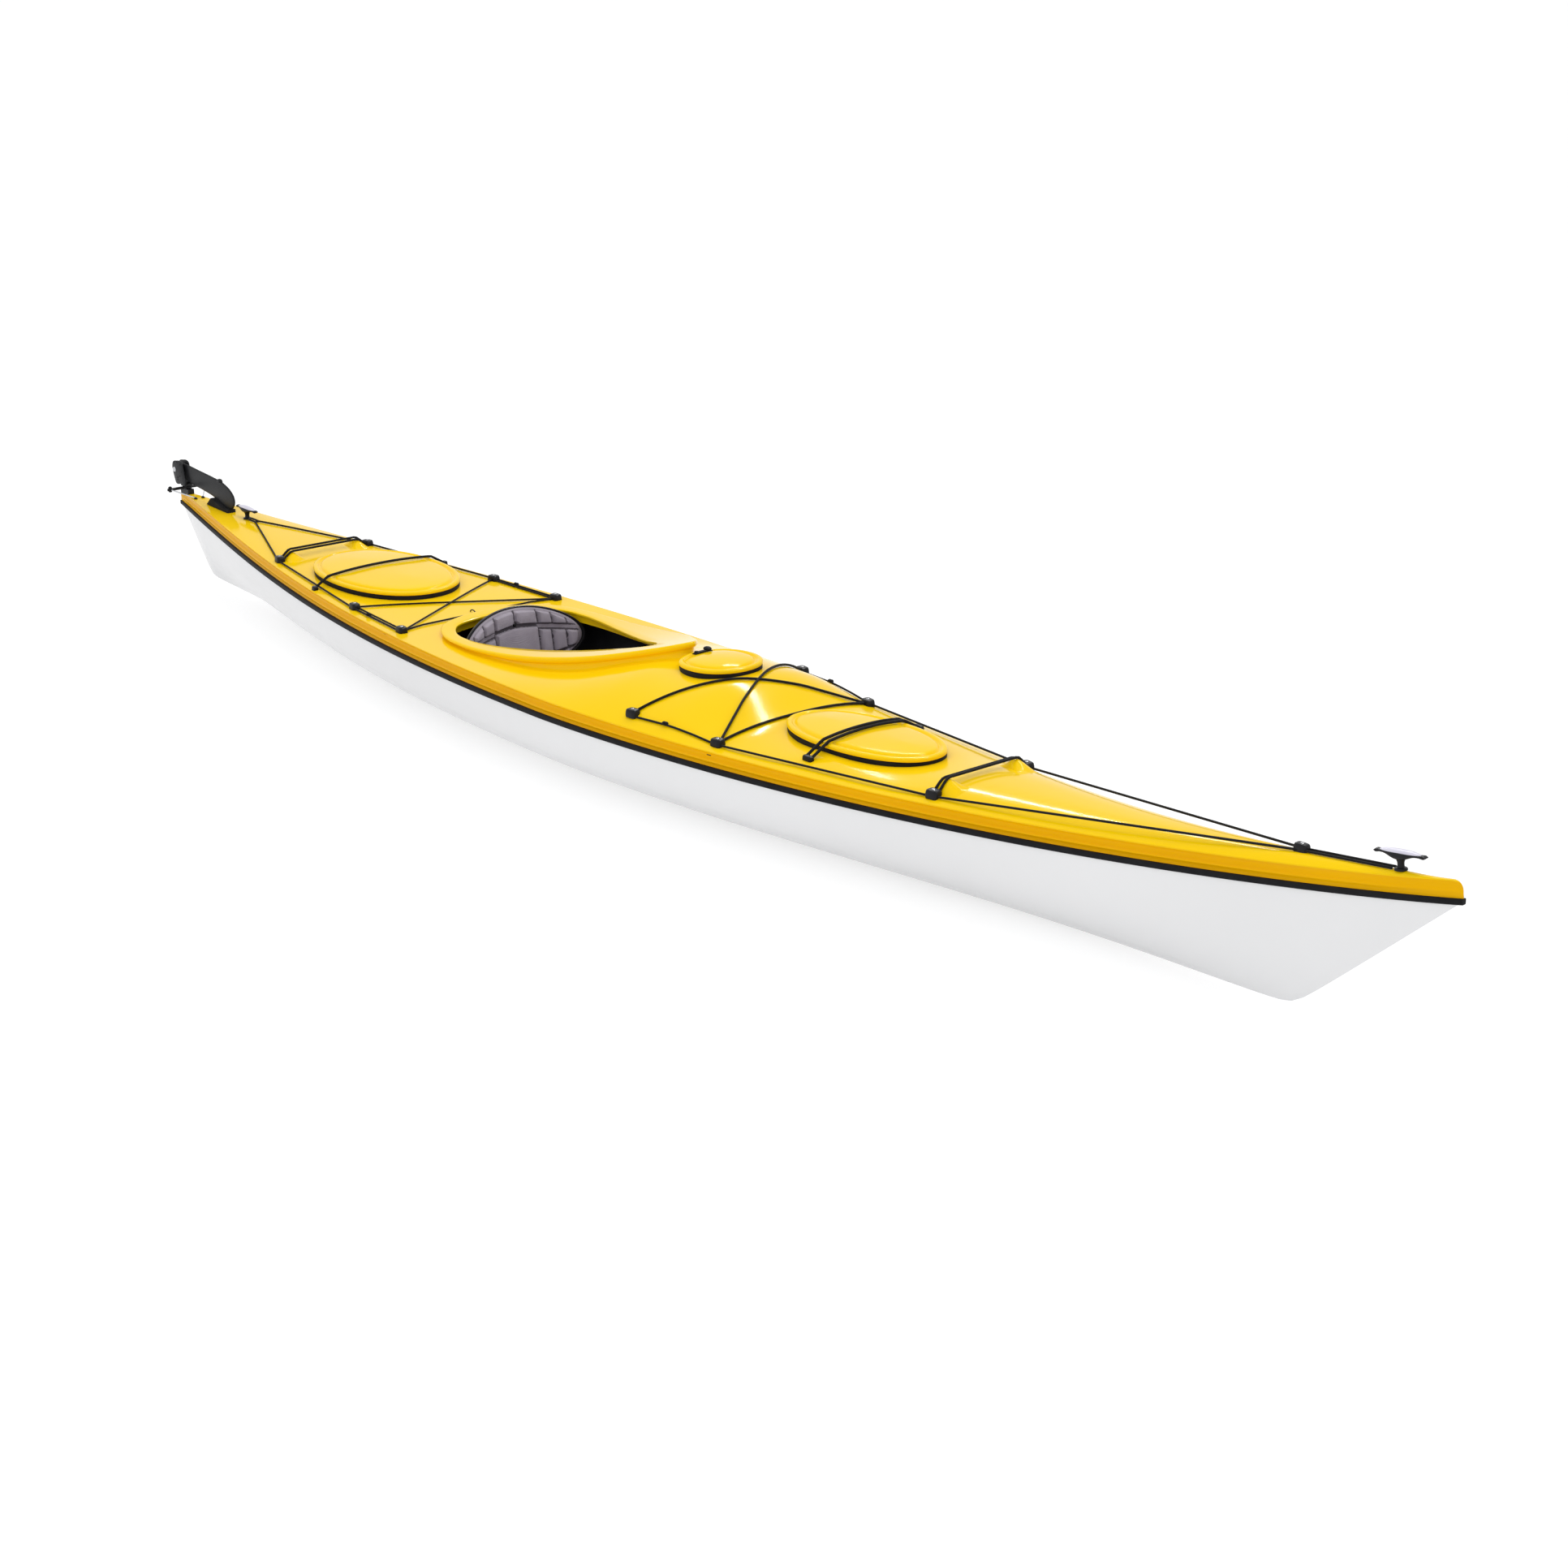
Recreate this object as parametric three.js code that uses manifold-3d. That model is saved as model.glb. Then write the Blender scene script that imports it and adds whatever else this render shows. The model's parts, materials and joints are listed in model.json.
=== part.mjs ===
import * as THREE from 'three';
import { mergeVertices } from 'three/addons/utils/BufferGeometryUtils.js';
import Module from 'manifold-3d';

const wasm = await Module();
wasm.setup();

// A touring sea kayak, in millimetres. The bow points along +X, port is +Y and up is +Z.
// The origin is on the flat of the keel, under the middle of the boat.

// Clearances
const fitGap = 0.35;
const cordLift = 0.6;
const overrun = 40;

// Hull and deck plan
const halfLength = 2360;
const sternLength = 2302;
const fullHalfBeam = 288.8;
const endHalfWidth = 12;
const tipHalfWidth = 1.6;
const bowPlanShares = { inner: 1.618, outer: 1.7 };
const sternPlanShares = { inner: 2.152, outer: 1.28 };
const endRoundShare = 20;

// Sheer line, where hull and deck meet
const seamHeight = 173.1;
const bowSheerRise = 158;
const sternSheerRise = 63.4;
const bowSheerShare = 3.035;
const sternSheerShare = 2.72;

// Keel
const keelFlatDepth = 1.5;
const bowRocker = 31.8;
const sternRocker = 46.1;
const rockerStartShare = 0.2;
const bowStemShare = 0.842;
const sternStemShare = 0.918;
const stemBlend = 20;
const endDepth = 7;

// Section shape exponents of the middle and of the ends
const middleSectionShares = { across: 1.9, down: 3.77 };
const endSectionShares = { across: 0.95, down: 1.1 };
const sectionSteps = 7;
const sectionCrowdShare = 1.6;

// Deck
const bandHeight = 38;
const bandLean = 8;
const coveDepth = 9;
const leanFade = 30;
const bowRake = 18;
const deckWall = 4.5;
const hullWall = 5;
const hollowEndShare = 0.93;
const crownShare = 2.5;
const crownSteps = 8;
const hollowCrownSteps = 6;

// Height of the deck's centre line over its edge, at shares of the half length
const crownHeight = 88;
const crownShares = [
  [-1, 0], [-0.912, 0], [-0.789, 0.09], [-0.652, 0.11], [-0.492, 0.09], [-0.369, 0.045],
  [-0.287, 0], [-0.195, 0], [-0.13, 0.045], [-0.087, 0.125], [-0.043, 0.27], [0, 0.48],
  [0.042, 0.74], [0.085, 0.93], [0.127, 0.966], [0.178, 1], [0.212, 0.77], [0.233, 0.5],
  [0.254, 0.27], [0.297, 0.25], [0.347, 0.32], [0.441, 0.25], [0.508, 0.34], [0.678, 0.27],
  [0.847, 0.193], [0.932, 0.1], [0.992, 0], [1, 0],
];

// Stations along the boat, closer where the form changes faster
const stationShares = [
  -1, -0.992, -0.97, -0.93, -0.87, -0.8, -0.72, -0.64, -0.55, -0.46, -0.38, -0.3, -0.22, -0.15,
  -0.09, -0.04, 0, 0.04, 0.085, 0.13, 0.175, 0.2, 0.217, 0.235, 0.252, 0.27, 0.32, 0.38, 0.45, 0.53,
  0.61, 0.69, 0.77, 0.84, 0.9, 0.95, 0.98, 1,
];

// Rubber strip over the seam
const stripHeight = 10;
const stripProud = 3.5;
const stripGap = 0.55;

// Paddle rests moulded in the deck
const restReach = { back: 30, front: 46 };
const restHalfWidth = 25;
const restRise = 20;
const restSlopeShare = 1.6;
const restDepth = 6;
const restSteps = 6;
const bowRestShare = 0.4995;
const sternRestShare = -0.6377;
const bowRestSide = 98;
const sternRestSide = 104;

// Cockpit coaming
const coamingShares = { back: -0.2891, tip: 0.0915, openBack: -0.2686, openFront: 0.027 };
const lipOuterShares = [
  [1, 0], [0.97, 0.16], [0.9, 0.36], [0.77, 0.66], [0.6, 0.86], [0.43, 0.96], [0.27, 1],
  [0.14, 0.93], [0.05, 0.71], [0.01, 0.36],
];
const lipInnerShares = [
  [1, 0], [0.975, 0.14], [0.85, 0.32], [0.7, 0.54], [0.54, 0.75], [0.37, 0.93], [0.24, 1],
  [0.12, 0.94], [0.035, 0.7], [0.005, 0.34],
];
const lipHalfWidth = 212;
const openingHalfWidth = 172;
const lipBackHeight = 232;
const lipTipHeight = 335;
const lipDip = 40;
const lipThickness = 7;
const lipOverhang = 20;
const coamingWall = 5;
const coamingSteps = 38;

// Hatches: places and lengths are shares of the half length, the rim plane rises by its slope
const hatchSkirt = 11;
const hatchDome = 9;
const hatchGroove = 3;
const hatchRimWidth = 15;
const hatchSkirtWall = 8;
const collarInset = 12;
const collarWall = 4;
const gasketInset = 5;
const hatchLid = 4.5;
const collarDepth = 34;
const hatchSteps = 24;
const hatches = {
  bow: { share: 0.347, rim: 258.5, halfX: 0.0941 * halfLength, halfY: 114, slope: 0.02 },
  day: { share: 0.1356, rim: 314, halfX: 0.0415 * halfLength, halfY: 92.5, slope: 0.03 },
  stern: { share: -0.4921, rim: 246, halfX: 0.1086 * sternLength, halfY: 164, slope: -0.02 },
};
const ovalShare = 2.15;

// Day hatch strap
const strapWidth = 16;
const strapThickness = 4;
const strapKnob = 9;
const strapReach = 30;

// Bulkheads and the pod under the day hatch
const bulkheadThickness = 12;
const frontBulkheadShare = 0.246;
const rearBulkheadShare = -0.3127;
const podDepth = 150;
const podWall = 4;

// Rigging
const bungeeRadius = 3;
const lineRadius = 2.5;
const hatchCordRadius = 3.5;
const cordSides = 5;
const boreSides = 4;
const routeStep = 12;
const routeTolerance = 1.1;
const knotRadius = 6;
const fittingLength = 32;
const fittingWidth = 24;
const fittingHeight = 15;
const fittingSplit = 5.5;
const fittingShares = {
  a: 0.133, b: 0.246, d: 0.498, f: -0.6346, h: -0.4075, i: -0.2945,
};
const fittingInsets = { a: 36, b: 36, d: 30, f: 32, h: 34, i: 40 };
const noseFittingShare = 0.851;
const noseFittingWidth = 18;
const bowKnotShare = 0.179;
const sternKnotShare = -0.3691;
const bowHookShare = 0.345;
const sternHookShare = -0.5048;
const bowHookInset = 62;
const sternHookInset = 17;
const hookLength = 30;
const sternHookLength = 18;
const hookWidth = 13;
const hookHeight = 9;
const hatchCordSpread = 9;
const paddleCordSpread = 7;
const sternJunctionShare = -0.7986;
const handleCordSpread = 4.5;

// Carrying handles
const bowHandleShare = 0.9436;
const sternHandleShare = -0.8232;
const handleHalfLength = 54;
const handleWidth = 26;
const handleSag = 8;
const handleDome = 15;
const handleEdge = 4;
const handleStemRadius = 7;
const handleFootRadius = 12;
const handleFoot = 5;
const handleRise = 14;
const handleTipShares = { width: 0.55, dome: 0.25 };

// Seat
const seatBackShare = -0.2276;
const seatLength = 365;
const seatHalfWidth = 192;
const seatRise = 14;
const seatSide = 50;
const seatWall = 5;
const seatPadMargin = 26;
const seatPadHeight = 22;
const seatColumns = 28;
const panColumns = 12;
const railOffset = 0.615 * seatHalfWidth;
const railWidth = 26;
const railTop = 30;
const railExtra = 45;
const runnerWidth = 18;

// Backrest
const backHalfWidth = 182;
const backHalfHeight = 86;
const backFootHeight = 84;
const backShell = 7;
const backPad = 18;
const backLean = 8;
const backDish = 46;
const backBlocks = 16;
const backChannel = 5;
const backHingeRadius = 7;
const backEarWidth = 26;
const backEarOffset = 92;

// Thigh braces
const braceLength = 150;
const braceWidth = 62;
const braceThickness = 12;
const braceSide = 118;
const braceBackShare = -0.0533;

// Foot braces
const footRailShares = { back: 0.068, front: 0.236 };
const footRailHeight = 100;
const footRailTall = 26;
const footRailThick = 10;
const footStandoff = 12;
const carrierLength = 60;
const carrierReach = 46;
const carrierThick = 10;
const pedalWidth = 62;
const pedalTall = 120;
const pedalThick = 9;
const pedalBarrel = 8;
const pedalShare = 0.14;

// Rudder
const pinShare = -0.9817;
const pinRadius = 4;
const mountLength = 46;
const mountWidth = 20;
const mountHeight = 10;
const tillerHeight = 7;
const tillerSpan = 112;
const tillerWidth = 16;
const tillerEye = 9;
const tillerBore = 3;
const headReach = 82;
const headBaseLength = 33;
const headWidth = 25;
const headPlate = 3.5;
const headBase = 8;
const headHeight = 67;
const bladeThickness = 6;
const bladeClear = 12;
const bladeHalf = 28.5;
const bladeTopShare = 1;
const bladeHub = 16;
const bladeLump = 9;
const bladeLumpShare = 0.75;
const bladePivotBack = 48;
const bladePivotRise = 44.5;
const bladeDroop = 5;
const boltRadius = 4;
const boltHead = 8;
const boltHeadTall = 4;
const chockShares = { back: -0.9201, front: -0.8642 };
const chockWidth = 26;
const chockSlant = 50;
const chockGap = 1;
const chockFoot = 6;
const cableRadius = 2;
const cableEnd = 73;
const cableEndSide = 12;
const cableGrip = 5;

// Colours
const yellow = 0xf7c51a;
const white = 0xe9eaec;
const black = 0x17181b;
const grey = 0x8b8492;
const metal = 0xa9adb2;

const group = new THREE.Group();

// Small helpers
const v3 = (x, y, z) => new THREE.Vector3(x, y, z);
const clamp = THREE.MathUtils.clamp;
const degrees = THREE.MathUtils.degToRad;
const smooth = (low, high, value) => THREE.MathUtils.smoothstep(value, low, high);
const stationX = (share) => share * (share > 0 ? halfLength : sternLength);
const shareAt = (x) => x / (x > 0 ? halfLength : sternLength);
const endShare = (x) => Math.min(Math.abs(shareAt(x)), 1);
const both = [['left', 1], ['right', -1]];

// A closed body through rings of equal counts, with flat ends
function loft(rings, closedLoop = false) {
  const count = rings[0].length;
  const positions = rings.flat().flatMap((p) => [p.x, p.y, p.z]);
  const index = [];
  const spans = closedLoop ? rings.length : rings.length - 1;
  for (let r = 0; r < spans; r += 1) {
    const near = r * count;
    const far = ((r + 1) % rings.length) * count;
    for (let i = 0; i < count; i += 1) {
      const j = (i + 1) % count;
      index.push(near + i, near + j, far + j, near + i, far + j, far + i);
    }
  }
  if (!closedLoop) {
    index.push(...cap(count, 0, true));
    index.push(...cap(count, (rings.length - 1) * count, false));
  }
  const geometry = new THREE.BufferGeometry();
  geometry.setAttribute('position', new THREE.Float32BufferAttribute(positions, 3));
  geometry.setIndex(index);
  return signedVolume(geometry) < 0 ? turnedOut(geometry) : geometry;
}

// Triangles that close one ring, as strips between its two sides
function cap(count, start, first) {
  const faces = [];
  for (let i = 0, j = count - 1; i + 1 < j; i += 1, j -= 1) {
    faces.push([i, i + 1, j]);
    if (i + 1 < j - 1) faces.push([i + 1, j - 1, j]);
  }
  return faces.flatMap(([a, b, c]) => (first ? [c, b, a] : [a, b, c]).map((k) => k + start));
}

function signedVolume(geometry) {
  const p = geometry.attributes.position;
  const index = geometry.index.array;
  const a = v3(0, 0, 0);
  const b = v3(0, 0, 0);
  const c = v3(0, 0, 0);
  let sum = 0;
  for (let i = 0; i < index.length; i += 3) {
    a.fromBufferAttribute(p, index[i]);
    b.fromBufferAttribute(p, index[i + 1]);
    c.fromBufferAttribute(p, index[i + 2]);
    sum += a.dot(b.cross(c));
  }
  return sum;
}

function turnedOut(geometry) {
  const index = geometry.index.array;
  for (let i = 0; i < index.length; i += 3) {
    [index[i + 1], index[i + 2]] = [index[i + 2], index[i + 1]];
  }
  return geometry;
}

// Solid for joining and cutting, and back again
function solid(geometry) {
  const plain = geometry.clone();
  plain.deleteAttribute('normal');
  plain.deleteAttribute('uv');
  const merged = mergeVertices(plain, fitGap / 1000);
  return new wasm.Manifold(new wasm.Mesh({
    numProp: 3,
    vertProperties: new Float32Array(merged.attributes.position.array),
    triVerts: new Uint32Array(merged.index.array),
  }));
}

function geometryOf(body) {
  const mesh = body.getMesh();
  const geometry = new THREE.BufferGeometry();
  const points = new Float32Array((mesh.vertProperties.length / mesh.numProp) * 3);
  for (let i = 0; i < points.length / 3; i += 1) {
    for (let k = 0; k < 3; k += 1) points[i * 3 + k] = mesh.vertProperties[i * mesh.numProp + k];
  }
  geometry.setAttribute('position', new THREE.BufferAttribute(points, 3));
  geometry.setIndex(new THREE.BufferAttribute(new Uint32Array(mesh.triVerts), 1));
  return geometry;
}

function join(bodies) {
  return bodies.reduce((sum, body) => sum.add(body));
}

function addNode(name, geometry, color, roughness, metalness = 0) {
  const material = new THREE.MeshStandardMaterial({ color, roughness, metalness });
  const mesh = new THREE.Mesh(geometry.index ? geometry.toNonIndexed() : geometry, material);
  mesh.geometry.deleteAttribute('normal');
  mesh.geometry.computeVertexNormals();
  mesh.name = name;
  group.add(mesh);
  return mesh;
}

// A smooth curve that never overshoots, through a list of [place, value] pairs
function easedTable(table, place) {
  const last = table.length - 1;
  const x = clamp(place, table[0][0], table[last][0]);
  let k = 0;
  while (k < last - 1 && x > table[k + 1][0]) k += 1;
  const slope = (i) => {
    if (i <= 0 || i >= last) return 0;
    const before = (table[i][1] - table[i - 1][1]) / (table[i][0] - table[i - 1][0]);
    const after = (table[i + 1][1] - table[i][1]) / (table[i + 1][0] - table[i][0]);
    return before * after <= 0 ? 0 : 2 / (1 / before + 1 / after);
  };
  const span = table[k + 1][0] - table[k][0];
  const t = (x - table[k][0]) / span;
  const rise = table[k + 1][1] - table[k][1];
  return table[k][1] + rise * t * t * (3 - 2 * t)
    + span * t * (1 - t) * (slope(k) * (1 - t) - slope(k + 1) * t);
}

// Lines of the boat, each at a place along X
function halfBreadth(x) {
  const s = endShare(x);
  const plan = x > 0 ? bowPlanShares : sternPlanShares;
  return fullHalfBeam * (1 - s ** plan.inner) ** plan.outer
    + endHalfWidth * (1 - s ** endRoundShare) + tipHalfWidth;
}

function seamZ(x) {
  const s = endShare(x);
  return seamHeight + (x > 0 ? bowSheerRise * s ** bowSheerShare : sternSheerRise * s ** sternSheerShare);
}

function keelZ(x) {
  const s = endShare(x);
  const climb = Math.max(s - rockerStartShare, 0) / (1 - rockerStartShare);
  const rocker = (x > 0 ? bowRocker : sternRocker) * climb ** 2 - keelFlatDepth;
  const stemShare = x > 0 ? bowStemShare : sternStemShare;
  const stem = seamZ(stationX(Math.sign(x))) * (s - stemShare) / (1 - stemShare);
  const blend = (rocker + stem + Math.hypot(rocker - stem, stemBlend)) / 2;
  const stemStart = smooth(stemShare - 0.15, stemShare, s);
  return Math.min(rocker + (blend - rocker) * stemStart, seamZ(x) - endDepth);
}

function edgeZ(x) {
  return seamZ(x) + bandHeight;
}

function edgeHalf(x) {
  const b = halfBreadth(x);
  return b - bandLean * b / (b + leanFade);
}

function deckZ(x, y) {
  const across = Math.min(Math.abs(y) / edgeHalf(x), 1);
  const crown = crownHeight * easedTable(crownShares, shareAt(x));
  return edgeZ(x) + crown * (1 - across ** crownShare);
}

// Half of a hull section from the seam to the keel, drawn in by an inset
function hullProfile(x, inset) {
  const blend = endShare(x) ** 2;
  const across = THREE.MathUtils.lerp(middleSectionShares.across, endSectionShares.across, blend);
  const down = THREE.MathUtils.lerp(middleSectionShares.down, endSectionShares.down, blend);
  const b = halfBreadth(x) - inset;
  const top = seamZ(x);
  const bottom = keelZ(x) + inset;
  const points = [];
  for (let j = 0; j <= sectionSteps; j += 1) {
    const turn = Math.PI / 2 * (1 - (j / sectionSteps) ** sectionCrowdShare);
    points.push([
      b * Math.max(Math.sin(turn), 0) ** (2 / across),
      top - (top - bottom) * Math.max(Math.cos(turn), 0) ** (2 / down),
    ]);
  }
  return points;
}

function hullRing(x, inset, rise) {
  const profile = hullProfile(x, inset);
  const port = profile.map(([y, z]) => v3(x, y, z));
  const starboard = profile.slice(0, -1).reverse().map(([y, z]) => v3(x, -y, z));
  if (!rise) return [...port, ...starboard];
  const top = seamZ(x) + rise;
  return [v3(x, profile[0][0], top), ...port, ...starboard, v3(x, -profile[0][0], top)];
}

// Half width of the hull's own facets at a height
function hullHalfAt(x, z) {
  const profile = hullProfile(x, 0);
  for (let i = 1; i < profile.length; i += 1) {
    const [y0, z0] = profile[i - 1];
    const [y1, z1] = profile[i];
    if (z <= z0 && z >= z1) return y0 + (y1 - y0) * (z0 - z) / Math.max(z0 - z1, fitGap);
  }
  return z > profile[0][1] ? profile[0][0] : 0;
}

// Height of the hollow's floor at a place, for a given inset from the outside
function floorZ(x, y, inset) {
  const profile = hullProfile(x, inset);
  for (let i = 1; i < profile.length; i += 1) {
    const [y0, z0] = profile[i - 1];
    const [y1, z1] = profile[i];
    if (Math.abs(y) <= y0 && Math.abs(y) >= y1) {
      return z0 + (z1 - z0) * (y0 - Math.abs(y)) / Math.max(y0 - y1, fitGap);
    }
  }
  return profile[profile.length - 1][1];
}

const bandShares = [[0, 0], [0.45, 1], [0.86, 0.7]];

function rakeAt(x) {
  return bowRake * smooth(0.93, 1, shareAt(x));
}

// The side band has a shallow cove, and the bow leans back over its height
function deckRing(x, inset, drop, steps = crownSteps) {
  const b = halfBreadth(x);
  const fade = b / (b + leanFade);
  const half = edgeHalf(x) - inset;
  const rake = rakeAt(x);
  const band = bandShares.map(([up, depth]) => [
    b - inset - coveDepth * fade * depth,
    seamZ(x) + fitGap + (bandHeight - inset) * up,
  ]);
  if (drop) band.unshift([b - inset, seamZ(x) - drop]);
  const crown = [];
  for (let k = 0; k <= steps; k += 1) {
    const y = half * Math.cos(Math.PI * k / steps);
    crown.push([y, deckZ(x, y * edgeHalf(x) / half) - inset]);
  }
  const outline = [...band, ...crown, ...band.map(([y, z]) => [-y, z]).reverse()];
  return outline.map(([y, z]) => v3(x - rake * clamp((z - seamZ(x)) / bandHeight, 0, 1), y, z));
}

const stations = stationShares.map(stationX);
const hollowStations = [
  stationX(-hollowEndShare),
  ...stations.filter((x, i) => endShare(x) < hollowEndShare && (i % 2 === 0 || endShare(x) < 1 / 3)),
  stationX(hollowEndShare),
];

function hullSpace(inset, rise) {
  return solid(loft(hollowStations.map((x) => hullRing(x, inset, rise))));
}

function deckSpace(inset, drop) {
  return solid(loft(hollowStations.map((x) => deckRing(x, inset, drop, hollowCrownSteps))));
}

const innerSpace = hullSpace(hullWall + fitGap, fitGap * 4)
  .add(deckSpace(deckWall + fitGap, 0));

// A closed outline round a hatch, drawn in by an inset, at a level over its rim plane
function hatchRing(hatch, inset, level) {
  const centre = stationX(hatch.share);
  const ring = [];
  for (let k = 0; k < hatchSteps; k += 1) {
    const turn = 2 * Math.PI * k / hatchSteps;
    const c = Math.cos(turn);
    const s = Math.sin(turn);
    const dx = (hatch.halfX - inset) * Math.sign(c) * Math.abs(c) ** (2 / ovalShare);
    const dy = (hatch.halfY - inset) * Math.sign(s) * Math.abs(s) ** (2 / ovalShare);
    ring.push(v3(centre + dx, dy, hatch.rim + hatch.slope * dx + level));
  }
  return ring;
}

function hatchStack(hatch, steps) {
  return loft(steps.map(([inset, level]) => hatchRing(hatch, inset, level)));
}

function coverTop(hatch, x, y) {
  const dx = x - stationX(hatch.share);
  const away = (Math.abs(dx) / hatch.halfX) ** ovalShare + (Math.abs(y) / hatch.halfY) ** ovalShare;
  if (away > 1) return -halfLength;
  return hatch.rim + hatch.slope * dx + hatchDome * (1 - away) + fitGap * 3;
}

// Places of the four paddle rests
const rests = both.flatMap(([, side]) => [
  [stationX(bowRestShare), side * bowRestSide],
  [stationX(sternRestShare), side * sternRestSide],
]);

// Lift of a rest over the deck: a ridge under the cords, with its longer slope to the front
function restLift(along, across) {
  if (Math.abs(along) > 1 || Math.abs(across) > 1) return -halfLength;
  return restRise * (1 - Math.abs(along) ** restSlopeShare) * (1 - Math.abs(across) ** restSlopeShare);
}

function restTop(x, y) {
  const lifts = rests.map(([cx, cy]) => {
    const reach = x > cx ? restReach.front : restReach.back;
    return restLift((x - cx) / reach, (y - cy) / restHalfWidth);
  });
  return deckZ(x, y) + fitGap + Math.max(...lifts);
}

function makeRest([cx, cy]) {
  const places = Array.from({ length: restSteps + 1 }, (_, k) => 2 * k / restSteps - 1);
  const rings = places.map((along) => {
    const x = cx + along * (along > 0 ? restReach.front : restReach.back);
    const at = (across, lift) => {
      const y = cy + across * restHalfWidth;
      return v3(x, y, deckZ(x, y) + lift);
    };
    const top = places.map((across) => at(across, restLift(along, across)));
    return [at(-1, -restDepth), ...top, at(1, -restDepth)];
  });
  return loft(rings);
}

// Height of the deck's own flat facets at a place
function facetZ(x, y) {
  const found = stations.findIndex((place) => place - rakeAt(place) >= x);
  const after = clamp(found < 0 ? stations.length : found, 1, stations.length - 1);
  const [x0, x1] = [stations[after - 1], stations[after]];
  const heightIn = (place) => {
    const half = edgeHalf(place);
    const across = clamp(Math.abs(y) / half, 0, 1);
    const k = Math.min(Math.floor(Math.acos(across) / Math.PI * crownSteps), crownSteps / 2 - 1);
    const ya = half * Math.cos(Math.PI * k / crownSteps);
    const yb = half * Math.cos(Math.PI * (k + 1) / crownSteps);
    const t = (ya - Math.abs(y)) / (ya - yb);
    return THREE.MathUtils.lerp(deckZ(place, ya), deckZ(place, yb), clamp(t, 0, 1));
  };
  const [near, far] = [x0 - rakeAt(x0), x1 - rakeAt(x1)];
  return THREE.MathUtils.lerp(heightIn(x0), heightIn(x1), (x - near) / (far - near));
}

function topZ(x, y) {
  const covers = Object.values(hatches).map((hatch) => coverTop(hatch, x, y));
  return Math.max(deckZ(x, y), facetZ(x, y), restTop(x, y), ...covers);
}

// The deck's outside with its rests, and the same form a gap higher for cutting what lies on it
function deckOutside(rise) {
  const skin = loft(stations.map((x) => deckRing(x, 0, 0))).translate(0, 0, rise);
  const ridges = rests.map((place) => makeRest(place).translate(0, 0, rise));
  return join([skin, ...ridges].map(solid));
}

const deckWithRests = deckOutside(0);
const deckCutter = deckOutside(fitGap);

// Coaming outlines, from the tip round by port
function coamingOutline(shares, back, front, halfWidth) {
  const length = stationX(front) - stationX(back);
  const port = shares.map(([along, across]) => v3(stationX(back) + length * along, halfWidth * across, 0));
  const starboard = port.slice(1).reverse().map((p) => v3(p.x, -p.y, 0));
  const curve = new THREE.CatmullRomCurve3(
    [...port, v3(stationX(back), 0, 0), ...starboard], true, 'centripetal',
  );
  return curve.getSpacedPoints(coamingSteps).slice(0, coamingSteps);
}

const lipOuter = coamingOutline(lipOuterShares, coamingShares.back, coamingShares.tip, lipHalfWidth);
const lipInner = coamingOutline(
  lipInnerShares, coamingShares.openBack, coamingShares.openFront, openingHalfWidth,
);

function lipZ(x) {
  const back = stationX(coamingShares.back);
  const t = (x - back) / (stationX(coamingShares.tip) - back);
  return lipBackHeight + (lipTipHeight - lipBackHeight) * t - 4 * lipDip * t * (1 - t);
}

// A point of the coaming's wall, a distance in from the lip's outer edge
function wallPoint(i, distance) {
  const direction = lipInner[i].clone().sub(lipOuter[i]).normalize();
  return lipOuter[i].clone().addScaledVector(direction, distance);
}

function makeCoaming() {
  const rings = lipOuter.map((outer, i) => {
    const inner = lipInner[i];
    const wall = wallPoint(i, lipOverhang);
    const back = wallPoint(i, lipOverhang + coamingWall);
    const at = (p, z) => v3(p.x, p.y, z);
    return [
      at(inner, lipZ(inner.x)),
      at(wall, lipZ(wall.x)),
      at(outer, lipZ(outer.x) - lipThickness / 3),
      at(outer, lipZ(outer.x) - lipThickness),
      at(wall, lipZ(wall.x) - lipThickness),
      at(wall, deckZ(wall.x, wall.y) - 3 * deckWall),
      at(back, deckZ(back.x, back.y) - 3 * deckWall),
      at(back, lipZ(back.x) - lipThickness),
      at(inner, lipZ(inner.x) - lipThickness),
    ];
  });
  return solid(loft(rings, true)).subtract(deckCutter);
}

// The cockpit's hole through the deck, just inside the coaming's wall
function cockpitHole() {
  const inset = lipOverhang + coamingWall + fitGap * 6;
  const outline = lipOuter.map((_, i) => wallPoint(i, inset));
  const low = outline.map((p) => v3(p.x, p.y, seamHeight));
  const high = outline.map((p) => v3(p.x, p.y, lipTipHeight + overrun));
  return solid(loft([low, high]));
}

function makeDeck() {
  let deck = deckWithRests.subtract(deckSpace(deckWall, overrun)).subtract(cockpitHole());
  for (const hatch of Object.values(hatches)) {
    const collar = hatchStack(hatch, [
      [collarInset, -collarDepth],
      [collarInset, -hatchLid - fitGap * 2],
    ]);
    const hole = hatchStack(hatch, [
      [collarInset + collarWall, -collarDepth - overrun],
      [collarInset + collarWall, overrun],
    ]);
    deck = deck.add(solid(collar)).subtract(solid(hole));
  }
  return deck;
}

function makeCover(hatch) {
  return hatchStack(hatch, [
    [hatchSkirtWall, -hatchLid],
    [hatchSkirtWall, -hatchSkirt],
    [0, -hatchSkirt],
    [0, -fitGap * 6],
    [fitGap * 6, 0],
    [hatchRimWidth, fitGap],
    [hatchRimWidth + hatchGroove, -hatchGroove / 2],
    [hatchRimWidth + hatchGroove * 3, hatchDome * 0.1],
    [hatch.halfY * 0.5, hatchDome * 0.74],
    [hatch.halfY * 0.85, hatchDome],
  ]);
}

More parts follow.
